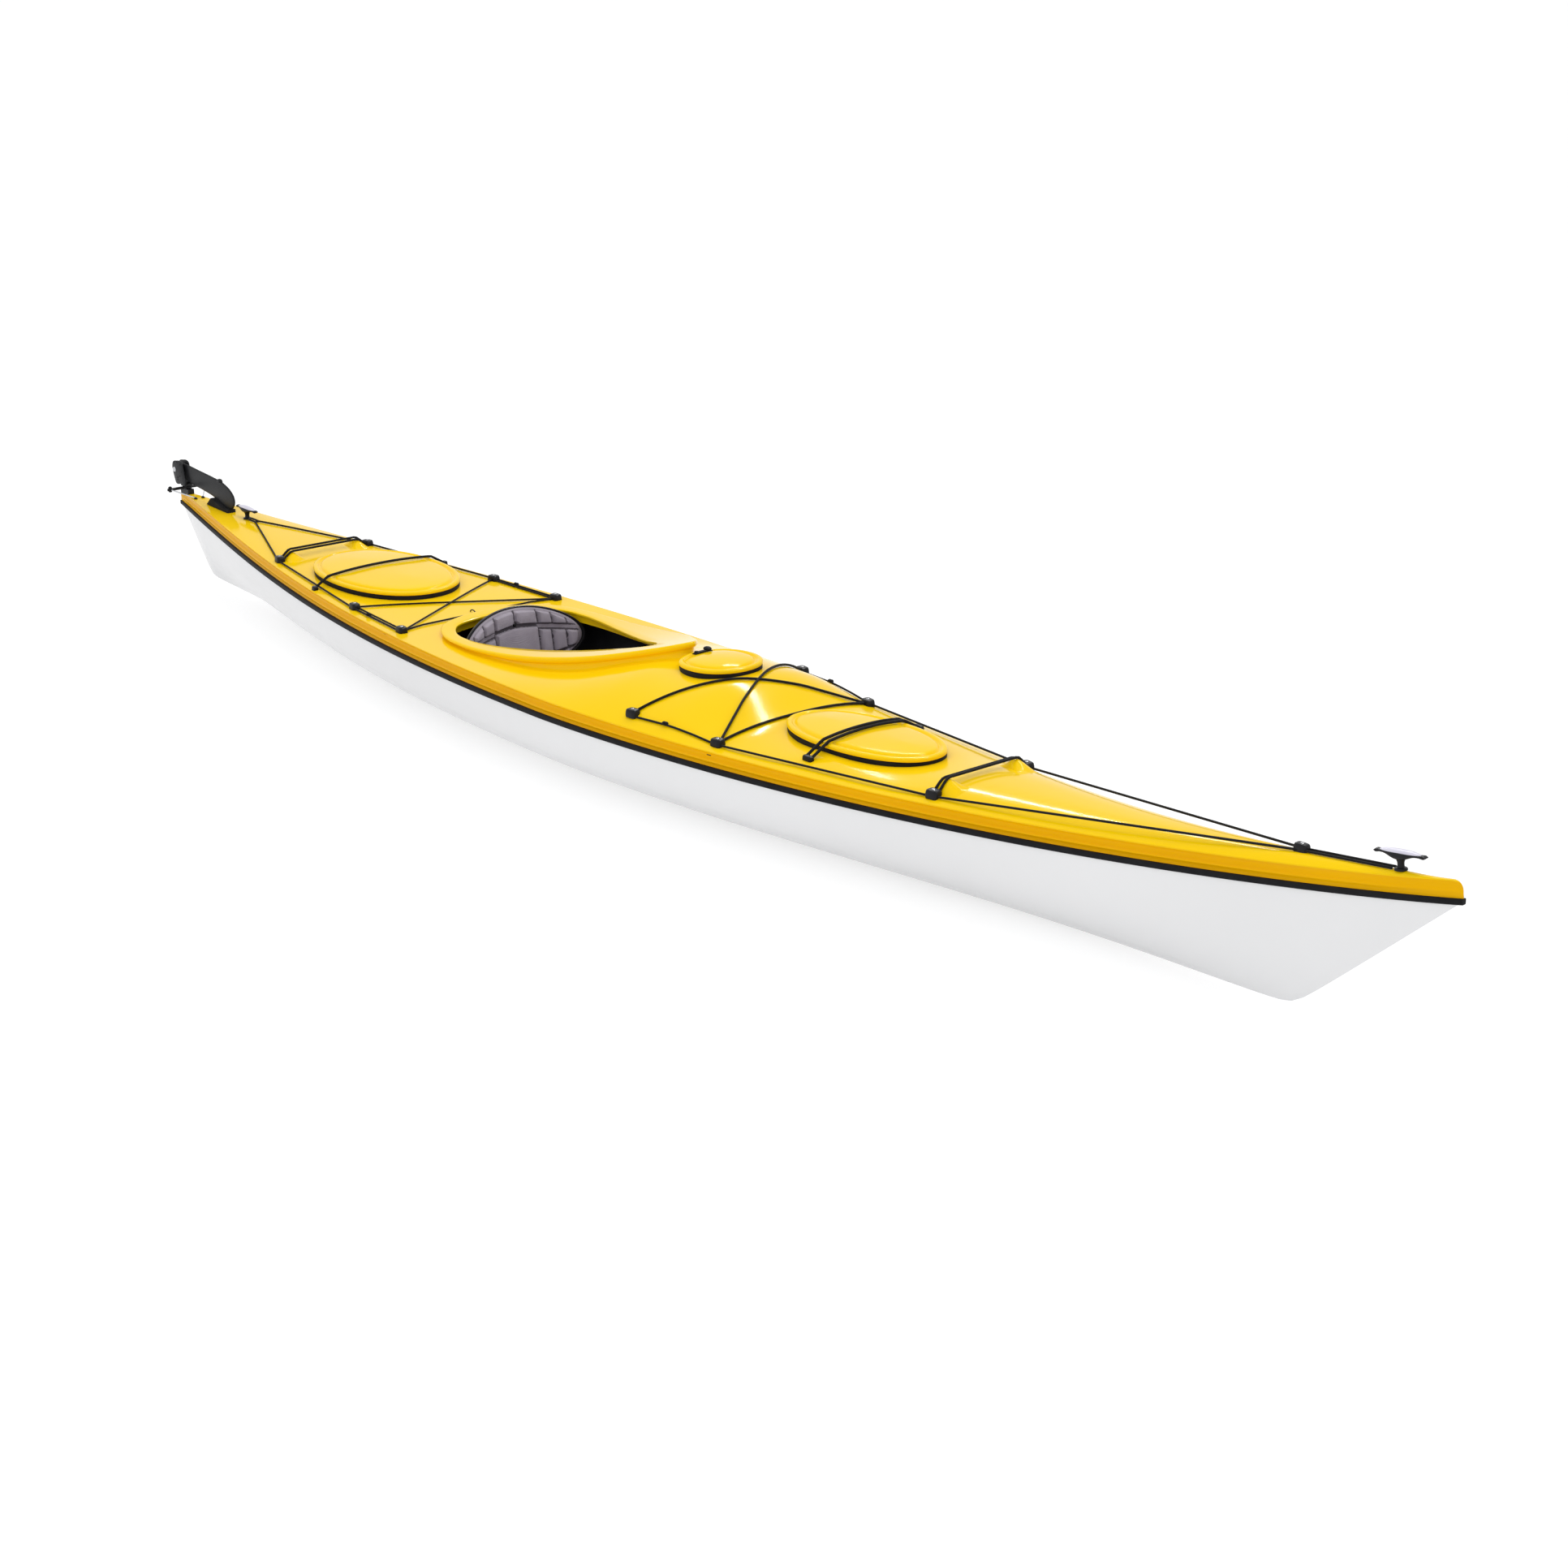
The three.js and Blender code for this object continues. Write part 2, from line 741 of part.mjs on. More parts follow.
function makeGasket(hatch) {
  const ring = solid(hatchStack(hatch, [[gasketInset, -collarDepth], [gasketInset, -hatchSkirt - fitGap]]));
  const hole = solid(hatchStack(hatch, [
    [collarInset - fitGap * 2, -collarDepth - overrun],
    [collarInset - fitGap * 2, overrun],
  ]));
  return ring.subtract(hole).subtract(deckCutter);
}

// The rubber strip runs round the whole boat over the seam
function makeStrip() {
  const bandHalfAt = (x, up) => {
    const depth = bandShares[1][1] * up / bandShares[1][0];
    const b = halfBreadth(x);
    return b - coveDepth * b / (b + leanFade) * depth;
  };
  const section = (i, side) => {
    const x = stations[i];
    const before = stations[Math.max(i - 1, 0)];
    const after = stations[Math.min(i + 1, stations.length - 1)];
    const out = new THREE.Vector2(halfBreadth(before) - halfBreadth(after), after - before).normalize();
    const tip = i === 0 ? -1 : Number(i === stations.length - 1);
    const shift = new THREE.Vector2(tip || out.x, tip ? 1 : out.y);
    const low = hullHalfAt(x, seamZ(x) - stripHeight / 2);
    const high = bandHalfAt(x, stripHeight / 2 / bandHeight);
    const at = (y, far, z) => v3(x + shift.x * far, side * (y + shift.y * far), seamZ(x) + z);
    return [
      at(low, stripGap, -stripHeight / 2),
      at(Math.max(low, high), stripProud, -stripHeight / 2),
      at(Math.max(low, high), stripProud, stripHeight / 2),
      at(high, stripGap, stripHeight / 2),
      at(halfBreadth(x), stripGap, 0),
    ];
  };
  const port = stations.map((_, i) => section(i, 1));
  const starboard = stations.map((_, i) => section(i, -1)).reverse();
  return loft([...port, ...starboard], true);
}

// A tube of flat sides through a list of points
function tube(points, radius, sides = cordSides) {
  const rings = points.map((p, i) => {
    const before = i > 0 ? p.clone().sub(points[i - 1]).normalize() : null;
    const after = i < points.length - 1 ? points[i + 1].clone().sub(p).normalize() : null;
    const along = (before && after ? before.clone().add(after) : before ?? after).normalize();
    const side = Math.abs(along.z) > 0.95 ? v3(0, 1, 0).cross(along) : v3(0, 0, 1).cross(along);
    side.normalize();
    const up = along.clone().cross(side);
    return Array.from({ length: sides }, (_, k) => {
      const turn = 2 * Math.PI * (k + 0.5) / sides;
      return p.clone().addScaledVector(side, radius * Math.cos(turn))
        .addScaledVector(up, radius * Math.sin(turn));
    });
  });
  return loft(rings);
}

// Keeps only the points that a polyline needs within a tolerance
function thinned(points, tolerance) {
  if (points.length < 3) return points;
  const [first, last] = [points[0], points[points.length - 1]];
  const line = new THREE.Line3(first, last);
  const nearest = v3(0, 0, 0);
  let worst = 0;
  let split = 0;
  points.forEach((p, i) => {
    const away = line.closestPointToPoint(p, true, nearest).distanceTo(p);
    if (away > worst) [worst, split] = [away, i];
  });
  if (worst <= tolerance) return [first, last];
  return [
    ...thinned(points.slice(0, split + 1), tolerance),
    ...thinned(points.slice(split), tolerance).slice(1),
  ];
}

// A cord pulled tight over the boat between two places
function tautRoute([x0, y0], [x1, y1], radius, height = topZ) {
  const length = Math.hypot(x1 - x0, y1 - y0);
  const steps = Math.max(Math.ceil(length / routeStep), 2);
  const samples = Array.from({ length: steps + 1 }, (_, k) => {
    const x = x0 + (x1 - x0) * k / steps;
    const y = y0 + (y1 - y0) * k / steps;
    return { d: length * k / steps, p: v3(x, y, height(x, y) + radius + cordLift + routeTolerance) };
  });
  const hull = [];
  for (const s of samples) {
    while (hull.length > 1) {
      const a = hull[hull.length - 2];
      const b = hull[hull.length - 1];
      if ((b.p.z - a.p.z) * (s.d - a.d) > (s.p.z - a.p.z) * (b.d - a.d)) break;
      hull.pop();
    }
    hull.push(s);
  }
  return thinned(hull.map((s) => s.p), routeTolerance);
}

const fittingPlace = (key, side, shift = 0) => {
  const x = stationX(fittingShares[key]);
  return [x, side * (halfBreadth(x) - fittingInsets[key] + shift)];
};
const anchor = (key, side) => fittingPlace(key, side, -fittingSplit);
const eye = (key, side) => fittingPlace(key, side, fittingSplit);

// Every cord is a list of straight plan runs
const nose = stationX(noseFittingShare);
const bowHandleX = stationX(bowHandleShare);
const sternHandleX = stationX(sternHandleShare);
const junctionX = stationX(sternJunctionShare);
const footReach = handleFootRadius + lineRadius + fitGap * 2;

const bowDeckBungee = [
  [anchor('a', 1), anchor('b', -1)],
  [anchor('b', -1), anchor('b', 1)],
  [anchor('b', 1), anchor('a', -1)],
];
const sternDeckBungee = [
  [anchor('h', 1), anchor('i', -1)],
  [anchor('h', -1), anchor('i', 1)],
  [anchor('i', -1), anchor('i', 1)],
  [anchor('h', 1), anchor('i', 1)],
  [anchor('h', -1), anchor('i', -1)],
];

function shifted([x, y], by) {
  return [x + by, y];
}

function paddleCords(key) {
  const ends = [anchor(key, 1), anchor(key, -1)];
  const runs = [-paddleCordSpread, paddleCordSpread].map((by) => {
    const [a, b] = ends.map((p) => shifted(p, by));
    return [a, b];
  });
  const ties = ends.map((p) => [shifted(p, -paddleCordSpread), shifted(p, paddleCordSpread)]);
  return [...runs, ...ties];
}

const bowDeckLine = both.flatMap(([, side]) => [
  [eye('a', side), eye('b', side)],
  [eye('b', side), eye('d', side)],
  [eye('d', side), [nose, side * handleCordSpread]],
  [[nose, side * handleCordSpread], [bowHandleX - footReach, side * handleCordSpread]],
]).concat([[[nose, handleCordSpread], [nose, -handleCordSpread]]]);

const sternDeckLine = both.flatMap(([, side]) => [
  [eye('i', side), eye('h', side)],
  [eye('h', side), eye('f', side)],
  [eye('f', side), [junctionX, side * handleCordSpread]],
  [[junctionX, side * handleCordSpread], [sternHandleX + footReach, side * handleCordSpread]],
]).concat([[[junctionX, handleCordSpread], [junctionX, -handleCordSpread]]]);

function lineTop(x, y) {
  const near = [...bowDeckLine, ...sternDeckLine].some(([[x0, y0], [x1, y1]]) => {
    const t = clamp(((x - x0) * (x1 - x0) + (y - y0) * (y1 - y0)) / ((x1 - x0) ** 2 + (y1 - y0) ** 2), 0, 1);
    return Math.hypot(x0 + (x1 - x0) * t - x, y0 + (y1 - y0) * t - y) < 2 * lineRadius;
  });
  return near ? deckZ(x, y) + 2 * lineRadius + cordLift * 3 : -halfLength;
}

function hatchCordRuns(share, inset, spread) {
  const x = stationX(share);
  const y = halfBreadth(x) - inset;
  return [-spread, spread].map((by) => [[x + by, y], [x + by, -y]]);
}

const bowHatchRuns = hatchCordRuns(bowHookShare, bowHookInset, hatchCordSpread);
const sternHatchRuns = hatchCordRuns(sternHookShare, sternHookInset, 0).slice(0, 1);

const overLines = (x, y) => Math.max(topZ(x, y), lineTop(x, y));

function cordBody(runs, radius, height) {
  return join(runs.map(([from, to]) => solid(tube(tautRoute(from, to, radius, height), radius))));
}

// The same cord swollen by a clearance, to bore the fittings that it passes through
function cordTool(runs, radius, height) {
  return join(runs.map(([from, to]) => solid(
    tube(tautRoute(from, to, radius, height), (radius + fitGap) / Math.cos(Math.PI / boreSides), boreSides),
  )));
}

function ball(x, y, z, radius) {
  return solid(new THREE.SphereGeometry(radius, 6, 4).translate(x, y, z));
}

// A knot on a run, at a place along X
function knotOn([[x0, y0], [x1, y1]], x) {
  const y = y0 + (y1 - y0) * (x - x0) / (x1 - x0);
  return ball(x, y, topZ(x, y) + knotRadius * 1.1, knotRadius);
}

// A rounded block on the deck, from its own outline shrunk level by level
function deckBlock(x, y, length, width, height, turn = 0) {
  const base = deckZ(x, y);
  const rings = [[1, -height / 3], [1, height * 0.6], [0.7, height]].map(([scale, up]) => {
    const ring = [];
    for (let k = 0; k < 8; k += 1) {
      const angle = 2 * Math.PI * (k + 0.5) / 8;
      const c = Math.cos(angle);
      const s = Math.sin(angle);
      const dx = length / 2 * scale * Math.sign(c) * Math.abs(c) ** 0.6;
      const dy = width / 2 * scale * Math.sign(s) * Math.abs(s) ** 0.6;
      ring.push(v3(
        x + dx * Math.cos(turn) - dy * Math.sin(turn),
        y + dx * Math.sin(turn) + dy * Math.cos(turn),
        base + up,
      ));
    }
    return ring;
  });
  return solid(loft(rings)).subtract(deckCutter);
}

function makeFitting(key, side, tools) {
  const [x, y] = fittingPlace(key, side);
  const next = halfBreadth(x + fittingLength) - halfBreadth(x - fittingLength);
  const turn = side * Math.atan2(next, 2 * fittingLength);
  return deckBlock(x, y, fittingLength, fittingWidth, fittingHeight, turn).subtract(tools);
}

// The strap and knob that lift the day hatch
function makeStrap() {
  const hatch = hatches.day;
  const x = stationX(hatch.share) - hatch.halfX + strapReach;
  const top = coverTop(hatch, x, 0) + fitGap;
  const strap = new THREE.BoxGeometry(strapWidth, strapReach * 1.6, 2 * strapThickness)
    .translate(x, 0, top);
  const knob = new THREE.SphereGeometry(strapKnob, 10, 6).scale(1.3, 1, 0.6)
    .translate(x, strapReach * 0.5, top + strapKnob * 0.6);
  return solid(strap).add(solid(knob)).subtract(solid(makeCover(hatch).translate(0, 0, fitGap)));
}

// A box given by its middle and size
function box(x, y, z, sx, sy, sz) {
  return new THREE.BoxGeometry(sx, sy, sz).translate(x, y, z);
}

// A cylinder whose axis lies along Y, for barrels and bolts
function crossBar(x, y, z, radius, length, sides = 12) {
  return new THREE.CylinderGeometry(radius, radius, length, sides).translate(x, y, z);
}

function upright(x, y, z, radius, height, sides = 12) {
  return new THREE.CylinderGeometry(radius, radius, height, sides)
    .rotateX(Math.PI / 2).translate(x, y, z + height / 2);
}

function makeBulkhead(share) {
  const x = stationX(share);
  const plate = box(x, 0, seamHeight, bulkheadThickness, 4 * halfLength / 3, 4 * seamHeight);
  return solid(plate).intersect(innerSpace);
}

function makePod() {
  const hatch = hatches.day;
  const podInset = collarInset + collarWall + fitGap;
  const outer = hatchStack(hatch, [[podInset + podWall, -podDepth], [podInset, -podDepth + podWall], [podInset, overrun]]);
  const inner = hatchStack(hatch, [[podInset + podWall, -podDepth + podWall], [podInset + podWall, overrun * 2]]);
  return solid(outer).subtract(solid(inner)).intersect(innerSpace);
}

// Seat
const seatBack = stationX(seatBackShare);
const seatFlat = railOffset + railWidth / 2 + fitGap * 8;

function panZ(x, y) {
  const along = (x - seatBack) / seatLength;
  const side = Math.max(Math.abs(y) - seatFlat, 0) / (seatHalfWidth - seatFlat);
  const front = smooth(0.8, 1, along) * seatRise;
  return railTop + fitGap + seatSide * side ** 2 * (1 - 0.6 * smooth(0.55, 1, along)) + front;
}

function panShell(from, to) {
  const rings = [];
  const steps = 8;
  for (let k = 0; k <= steps; k += 1) {
    const t = k / steps;
    const x = seatBack + seatLength * t;
    const half = seatHalfWidth * (1 - 0.16 * t ** 3);
    const ys = Array.from(
      { length: panColumns + 1 }, (_, j) => half * Math.sin(Math.PI * (j / panColumns - 0.5)),
    );
    const low = ys.map((y) => v3(x, y, panZ(x, y) + from));
    const high = ys.map((y) => v3(x, y, panZ(x, y) + to)).reverse();
    rings.push([...low, ...high]);
  }
  return solid(loft(rings));
}

function makeSeatPan() {
  const ears = both.map(([, side]) => {
    const height = backFootHeight + backHingeRadius - railTop;
    const ear = box(
      seatBack + backHingeRadius * 1.6, side * backEarOffset, railTop + fitGap + seatWall / 2 + height / 2,
      backHingeRadius * 3, backEarWidth / 2, height,
    );
    return solid(ear);
  });
  const bore = solid(crossBar(backHingeX, 0, backFootHeight, backHingeRadius / 2 + fitGap, 4 * backEarOffset));
  return join([panShell(0, seatWall), ...ears]).subtract(bore);
}

// A padded form from rings drawn in towards its middle
function padLoft(place, profile, columns) {
  const rings = profile.map((level) => Array.from({ length: columns }, (_, k) => place(k, level)));
  return loft(rings);
}

// The seat pad has a crown, drawn-in sides, a middle channel and two cross channels
function makeSeatPad() {
  const halfX = (seatLength - seatPadMargin) / 2;
  const halfY = seatHalfWidth - seatPadMargin;
  const centre = seatBack + seatLength / 2 + seatPadMargin / 3;
  const spot = (k, scale) => {
    const turn = 2 * Math.PI * k / seatColumns;
    const c = Math.cos(turn);
    const s = Math.sin(turn);
    return [
      centre + halfX * scale * Math.sign(c) * Math.abs(c) ** 0.7,
      halfY * scale * Math.sign(s) * Math.abs(s) ** 0.7 * (1 - 0.1 * scale * Math.sign(c) * c * c),
    ];
  };
  const channel = (distance) => Math.exp(-((distance / backChannel) ** 2));
  const top = (k, scale) => {
    const [x, y] = spot(k, scale);
    const crown = seatPadHeight * (0.72 + 0.28 * (1 - scale ** 2));
    const groove = Math.max(
      channel(y), channel(x - centre - halfX * 0.34), channel(x - centre + halfX * 0.34),
    );
    return v3(x, y, panZ(x, y) + seatWall + crown - groove * seatPadHeight * 0.28);
  };
  const bottom = (k, scale) => {
    const [x, y] = spot(k, scale);
    return v3(x, y, panZ(x, y) + seatWall / 2);
  };
  const levels = [
    [bottom, 0.12], [bottom, 0.55], [bottom, 0.86], [bottom, 0.94], [top, 1], [top, 0.95],
    [top, 0.86], [top, 0.74], [top, 0.6], [top, 0.46], [top, 0.36], [top, 0.3], [top, 0.16], [top, 0.04],
  ];
  const pad = padLoft((k, [face, scale]) => {
    const p = face(k, scale);
    if (face === top && scale === 1) p.z -= seatPadHeight * 0.34;
    return p;
  }, levels, seatColumns);
  return solid(pad).subtract(panShell(-seatPadHeight, seatWall + fitGap));
}

// Backrest: an oval dish that leans back, hinged to the seat by a barrel at its foot
const backHingeX = seatBack + backHingeRadius * 1.6;

function dishPoint(turn, scale, forward) {
  const y = backHalfWidth * scale * Math.cos(turn);
  const up = backHalfHeight * (1 + scale * Math.sin(turn) * (1 - 0.08 * Math.cos(turn) ** 2));
  const curve = backDish * (y / backHalfWidth) ** 2;
  return v3(
    backHingeX + curve + forward - Math.tan(degrees(backLean)) * up,
    y,
    backFootHeight + backHingeRadius + up,
  );
}

function makeBackShell() {
  const columns = 28;
  const levels = [
    [-backShell, 0.08], [-backShell, 0.55], [-backShell, 0.97], [-backShell / 2, 1.02], [0, 1.02],
    [0, 0.97], [0, 0.55], [0, 0.08],
  ];
  const shell = padLoft(
    (k, [forward, scale]) => dishPoint(2 * Math.PI * k / columns, scale, forward), levels, columns,
  );
  const barrelHalf = backEarOffset - backEarWidth / 4 - fitGap;
  const barrel = crossBar(backHingeX, 0, backFootHeight, backHingeRadius, 2 * barrelHalf);
  const pin = crossBar(backHingeX, 0, backFootHeight, backHingeRadius / 2, 2 * backEarOffset);
  const neck = box(
    backHingeX - backShell, 0, backFootHeight + backHingeRadius * 1.5,
    backShell, barrelHalf, backHingeRadius * 3,
  );
  return join([shell, barrel, pin, neck].map(solid));
}

// The backrest pad: a rim of raised blocks round a plain middle panel, with channels between
function makeBackPad() {
  const columns = backBlocks * 4;
  const blockTurn = 2 * Math.PI / backBlocks;
  const turnAt = (k) => {
    const block = Math.floor(k / 4);
    const place = [0, 0.14, 0.5, 0.86][k % 4];
    return (block + place) * blockTurn;
  };
  const back = fitGap * 2.4;
  const low = backPad * 0.55;
  const high = backPad;
  const levels = [
    { scale: 0.1, flat: back }, { scale: 0.93, flat: back },
    { scale: 0.985, flat: back + backChannel / 2 }, { scale: 0.985, flat: low * 0.8 },
    { scale: 0.94, block: high * 0.86 }, { scale: 0.88, block: high }, { scale: 0.74, block: high },
    { scale: 0.69, block: high * 0.86 }, { scale: 0.655, flat: low }, { scale: 0.62, panel: high * 0.86 },
    { scale: 0.56, panel: high }, { scale: 0.3, panel: high * 1.06 }, { scale: 0.06, flat: high * 1.08 },
  ];
  return padLoft((k, level) => {
    const channel = k % 4 === 0;
    let forward = level.flat ?? 0;
    if (level.block) forward = channel ? low : level.block;
    if (level.panel) forward = level.panel - (k % 16 === 8 ? backPad * 0.3 : 0);
    return dishPoint(turnAt(k), level.scale, forward);
  }, levels, columns);
}

function makeRail(side) {
  const length = seatLength + 2 * railExtra;
  const rail = box(seatBack + seatLength / 2, side * railOffset, 0, length, railWidth, 2 * railTop);
  return solid(rail).intersect(innerSpace);
}

// A plate that hugs the underside of the deck beside the coaming
function makeThighBrace(side) {
  const x = stationX(braceBackShare) + braceLength / 2;
  const block = box(
    x, side * (braceSide + braceWidth), seamHeight + bandHeight + seamHeight / 4,
    braceLength, braceWidth, seamHeight,
  );
  const below = deckSpace(deckWall + fitGap + braceThickness, overrun);
  return solid(block).intersect(innerSpace).subtract(below);
}

// Foot braces: a rail on each side, a carrier that slides on it and a toe pedal
const footBack = stationX(footRailShares.back);
const footFront = stationX(footRailShares.front);
const footSide = (x) => {
  const profile = hullProfile(x, hullWall);
  for (let i = 1; i < profile.length; i += 1) {
    const [y0, z0] = profile[i - 1];
    const [y1, z1] = profile[i];
    if (footRailHeight >= z1) return y0 + (y1 - y0) * (z0 - footRailHeight) / (z0 - z1);
  }
  return 0;
};
const footLine = footStandoff + footRailThick / 2;

function footFrame(side) {
  const start = v3(footBack, side * (footSide(footBack) - footLine), 0);
  const end = v3(footFront, side * (footSide(footFront) - footLine), 0);
  const turn = Math.atan2(end.y - start.y, end.x - start.x);
  return {
    length: end.distanceTo(start),
    put: (geometry, along, inboard, z) => geometry.applyMatrix4(
      new THREE.Matrix4().makeTranslation(along, -side * inboard, z)
        .premultiply(new THREE.Matrix4().makeRotationZ(turn))
        .premultiply(new THREE.Matrix4().makeTranslation(start.x, start.y, 0)),
    ),
  };
}

const pedalAlong = stationX(pedalShare) - footBack;
const pedalInboard = footRailThick / 2 + carrierReach;

function makeFootRail(side) {
  const { put, length } = footFrame(side);
  const rail = put(box(0, 0, 0, length, footRailThick, footRailTall), length / 2, 0, footRailHeight);
  const feet = [0.06, 0.94].map((share) => put(
    box(0, 0, 0, carrierThick * 2, footLine * 3, footRailTall), length * share, -footLine * 1.5, footRailHeight,
  ));
  return join([rail, ...feet].map(solid)).intersect(innerSpace);
}

function makeCarrier(side) {
  const { put } = footFrame(side);
  const face = footRailThick / 2 + fitGap;
  const pedalZ = footRailHeight - footRailTall / 2;
  const slide = put(
    box(0, 0, 0, carrierLength, carrierThick, footRailTall + carrierThick + 2 * fitGap),
    pedalAlong, face + carrierThick / 2, footRailHeight,
  );
  const lips = [1, -1].map((up) => put(
    box(0, 0, 0, carrierLength, footRailThick + 2 * carrierThick / 2, carrierThick / 2),
    pedalAlong, face + carrierThick - (footRailThick + carrierThick) / 2,
    footRailHeight + up * (footRailTall / 2 + fitGap + carrierThick / 4),
  ));
  const post = put(
    box(0, 0, 0, carrierThick * 1.6, carrierThick, footRailTall), pedalAlong, face + carrierThick, footRailHeight,
  );
  const axle = put(
    new THREE.CylinderGeometry(pedalBarrel / 2, pedalBarrel / 2, pedalInboard + pedalWidth / 2 - face, 10),
    pedalAlong, (pedalInboard + pedalWidth / 2 + face) / 2 + carrierThick / 2, pedalZ,
  );
  return join([slide, ...lips, post, axle].map(solid));
}

function makePedal(side) {
  const { put } = footFrame(side);
  const pedalZ = footRailHeight - footRailTall / 2;
  const middle = pedalInboard + carrierThick;
  const barrel = put(
    new THREE.CylinderGeometry(pedalBarrel, pedalBarrel, pedalWidth - carrierThick, 12), pedalAlong, middle, pedalZ,
  );
  const shape = new THREE.Shape();
  const half = pedalWidth / 2;
  shape.moveTo(-half * 0.7, 0).lineTo(half * 0.7, 0).lineTo(half, pedalTall * 0.4)
    .lineTo(half, pedalTall * 0.8).quadraticCurveTo(half, pedalTall, half * 0.4, pedalTall)
    .lineTo(-half * 0.4, pedalTall).quadraticCurveTo(-half, pedalTall, -half, pedalTall * 0.8)
    .lineTo(-half, pedalTall * 0.4).closePath();
  const plate = new THREE.ExtrudeGeometry(shape, { depth: pedalThick, bevelEnabled: false, curveSegments: 3 })
    .translate(0, 0, -pedalThick / 2).rotateX(Math.PI / 2).rotateZ(Math.PI / 2);
  put(plate, pedalAlong, middle, pedalZ);
  const bore = put(
    new THREE.CylinderGeometry(pedalBarrel / 2 + fitGap, pedalBarrel / 2 + fitGap, 3 * pedalWidth, 10),
    pedalAlong, middle, pedalZ,
  );
  return solid(barrel).add(solid(plate)).subtract(solid(bore));
}

// A foot that stands on the deck: its level and its slope along the boat
function deckSeat(x, reach) {
  const slope = (facetZ(x + reach, 0) - facetZ(x - reach, 0)) / (2 * reach);
  const levels = [-1, -0.5, 0, 0.5, 1].map((t) => facetZ(x + reach * t, 0) - slope * reach * t);
  return { level: Math.max(...levels) + fitGap, slope };
}

// Carrying handle: a stem, and a grip that curves up at its ends under a domed top
function makeHandle(x) {
  const steps = 8;
  const rings = [];
  for (let k = 0; k <= steps; k += 1) {
    const t = 2 * k / steps - 1;
    const round = Math.sqrt(1 - t * t);
    const low = handleFoot + handleRise + handleSag * t * t;
    const half = handleWidth / 2 * THREE.MathUtils.lerp(handleTipShares.width, 1, round);
    const edge = low + handleEdge;
    const dome = handleDome * THREE.MathUtils.lerp(handleTipShares.dome, 1, round);
    const at = (y, z) => v3(handleHalfLength * t, y, z);
    rings.push([
      at(-half * 0.7, low), at(half * 0.7, low), at(half, edge), at(half * 0.8, edge + dome * 0.6),
      at(half * 0.3, edge + dome), at(-half * 0.3, edge + dome), at(-half * 0.8, edge + dome * 0.6), at(-half, edge),
    ]);
  }
  const stem = upright(0, 0, 0, handleStemRadius, handleFoot + handleRise + handleSag / 2);
  const foot = upright(0, 0, 0, handleFootRadius, handleFoot);
  const seat = deckSeat(x, handleFootRadius);
  const lean = new THREE.Matrix4().makeRotationY(-Math.atan(seat.slope));
  const place = new THREE.Matrix4().makeTranslation(x, 0, seat.level).multiply(lean);
  return join([loft(rings), stem, foot].map((piece) => solid(piece.applyMatrix4(place))));
}

// Rudder
const pinX = stationX(pinShare);
const mountTop = edgeZ(-sternLength) + fitGap + mountHeight;
const tillerBase = mountTop + fitGap;
const headFloor = tillerBase + tillerHeight + fitGap;
const pivot = v3(pinX - bladePivotBack, 0, headFloor + bladePivotRise);

function makeRudderMount() {
  const block = box(pinX, 0, mountTop - mountHeight, mountLength, mountWidth, 2 * mountHeight);
  const bore = upright(pinX, 0, mountTop - mountHeight * 0.8 - fitGap, pinRadius + fitGap, 2 * mountHeight);
  const cutters = [-fitGap, 0, fitGap].map((side) => deckCutter.translate(0, side, 0));
  return solid(block).subtract(join([...cutters, solid(bore)]));
}

function makePin() {
  const low = mountTop - mountHeight * 0.8;
  return upright(pinX, 0, low, pinRadius, headFloor + headBase - fitGap - low);
}

// A flat bar with rounded ends, eyes and a hub, lying level
function makeTiller() {
  const half = tillerSpan / 2;
  const shape = new THREE.Shape();
  shape.absarc(half, 0, tillerEye, -Math.PI / 2, Math.PI / 2, false);
  shape.lineTo(tillerWidth, tillerEye * 0.8);
  shape.absarc(0, 0, tillerWidth * 0.8, Math.PI / 5, Math.PI * 4 / 5, false);
  shape.lineTo(-half, tillerEye);
  shape.absarc(-half, 0, tillerEye, Math.PI / 2, Math.PI * 3 / 2, false);
  shape.absarc(0, 0, tillerWidth * 0.8, Math.PI * 6 / 5, Math.PI * 9 / 5, false);
  shape.closePath();
  const hole = (x, radius) => {
    const path = new THREE.Path();
    path.absarc(x, 0, radius, 0, Math.PI * 2, true);
    return path;
  };
  shape.holes.push(hole(0, pinRadius + fitGap), hole(half, tillerBore), hole(-half, tillerBore));
  return new THREE.ExtrudeGeometry(shape, { depth: tillerHeight, bevelEnabled: false, curveSegments: 4 })
    .rotateZ(Math.PI / 2).translate(pinX, 0, tillerBase);
}

// A side view in the plane of the keel line, extruded evenly to both sides
function sideExtrude(points, width) {
  const shape = new THREE.Shape(points.map(([x, z]) => new THREE.Vector2(x, z)));
  return new THREE.ExtrudeGeometry(shape, { depth: width, bevelEnabled: false })
    .translate(0, 0, -width / 2).rotateX(Math.PI / 2);
}

function smoothOutline(points, count) {
  const curve = new THREE.CatmullRomCurve3(points.map(([x, z]) => v3(x, 0, z)), true, 'centripetal');
  return curve.getSpacedPoints(count).slice(0, count).map((p) => [p.x, p.z]);
}

const headShares = [
  [0.08, -0.02], [0.03, 0.1], [0.1, 0.4], [0.18, 0.72], [0.24, 0.93], [0.42, 1], [0.66, 0.97], [0.9, 0.9],
  [1, 0.68], [0.96, 0.4], [0.88, 0.12], [0.78, -0.08], [0.4, -0.05],
];

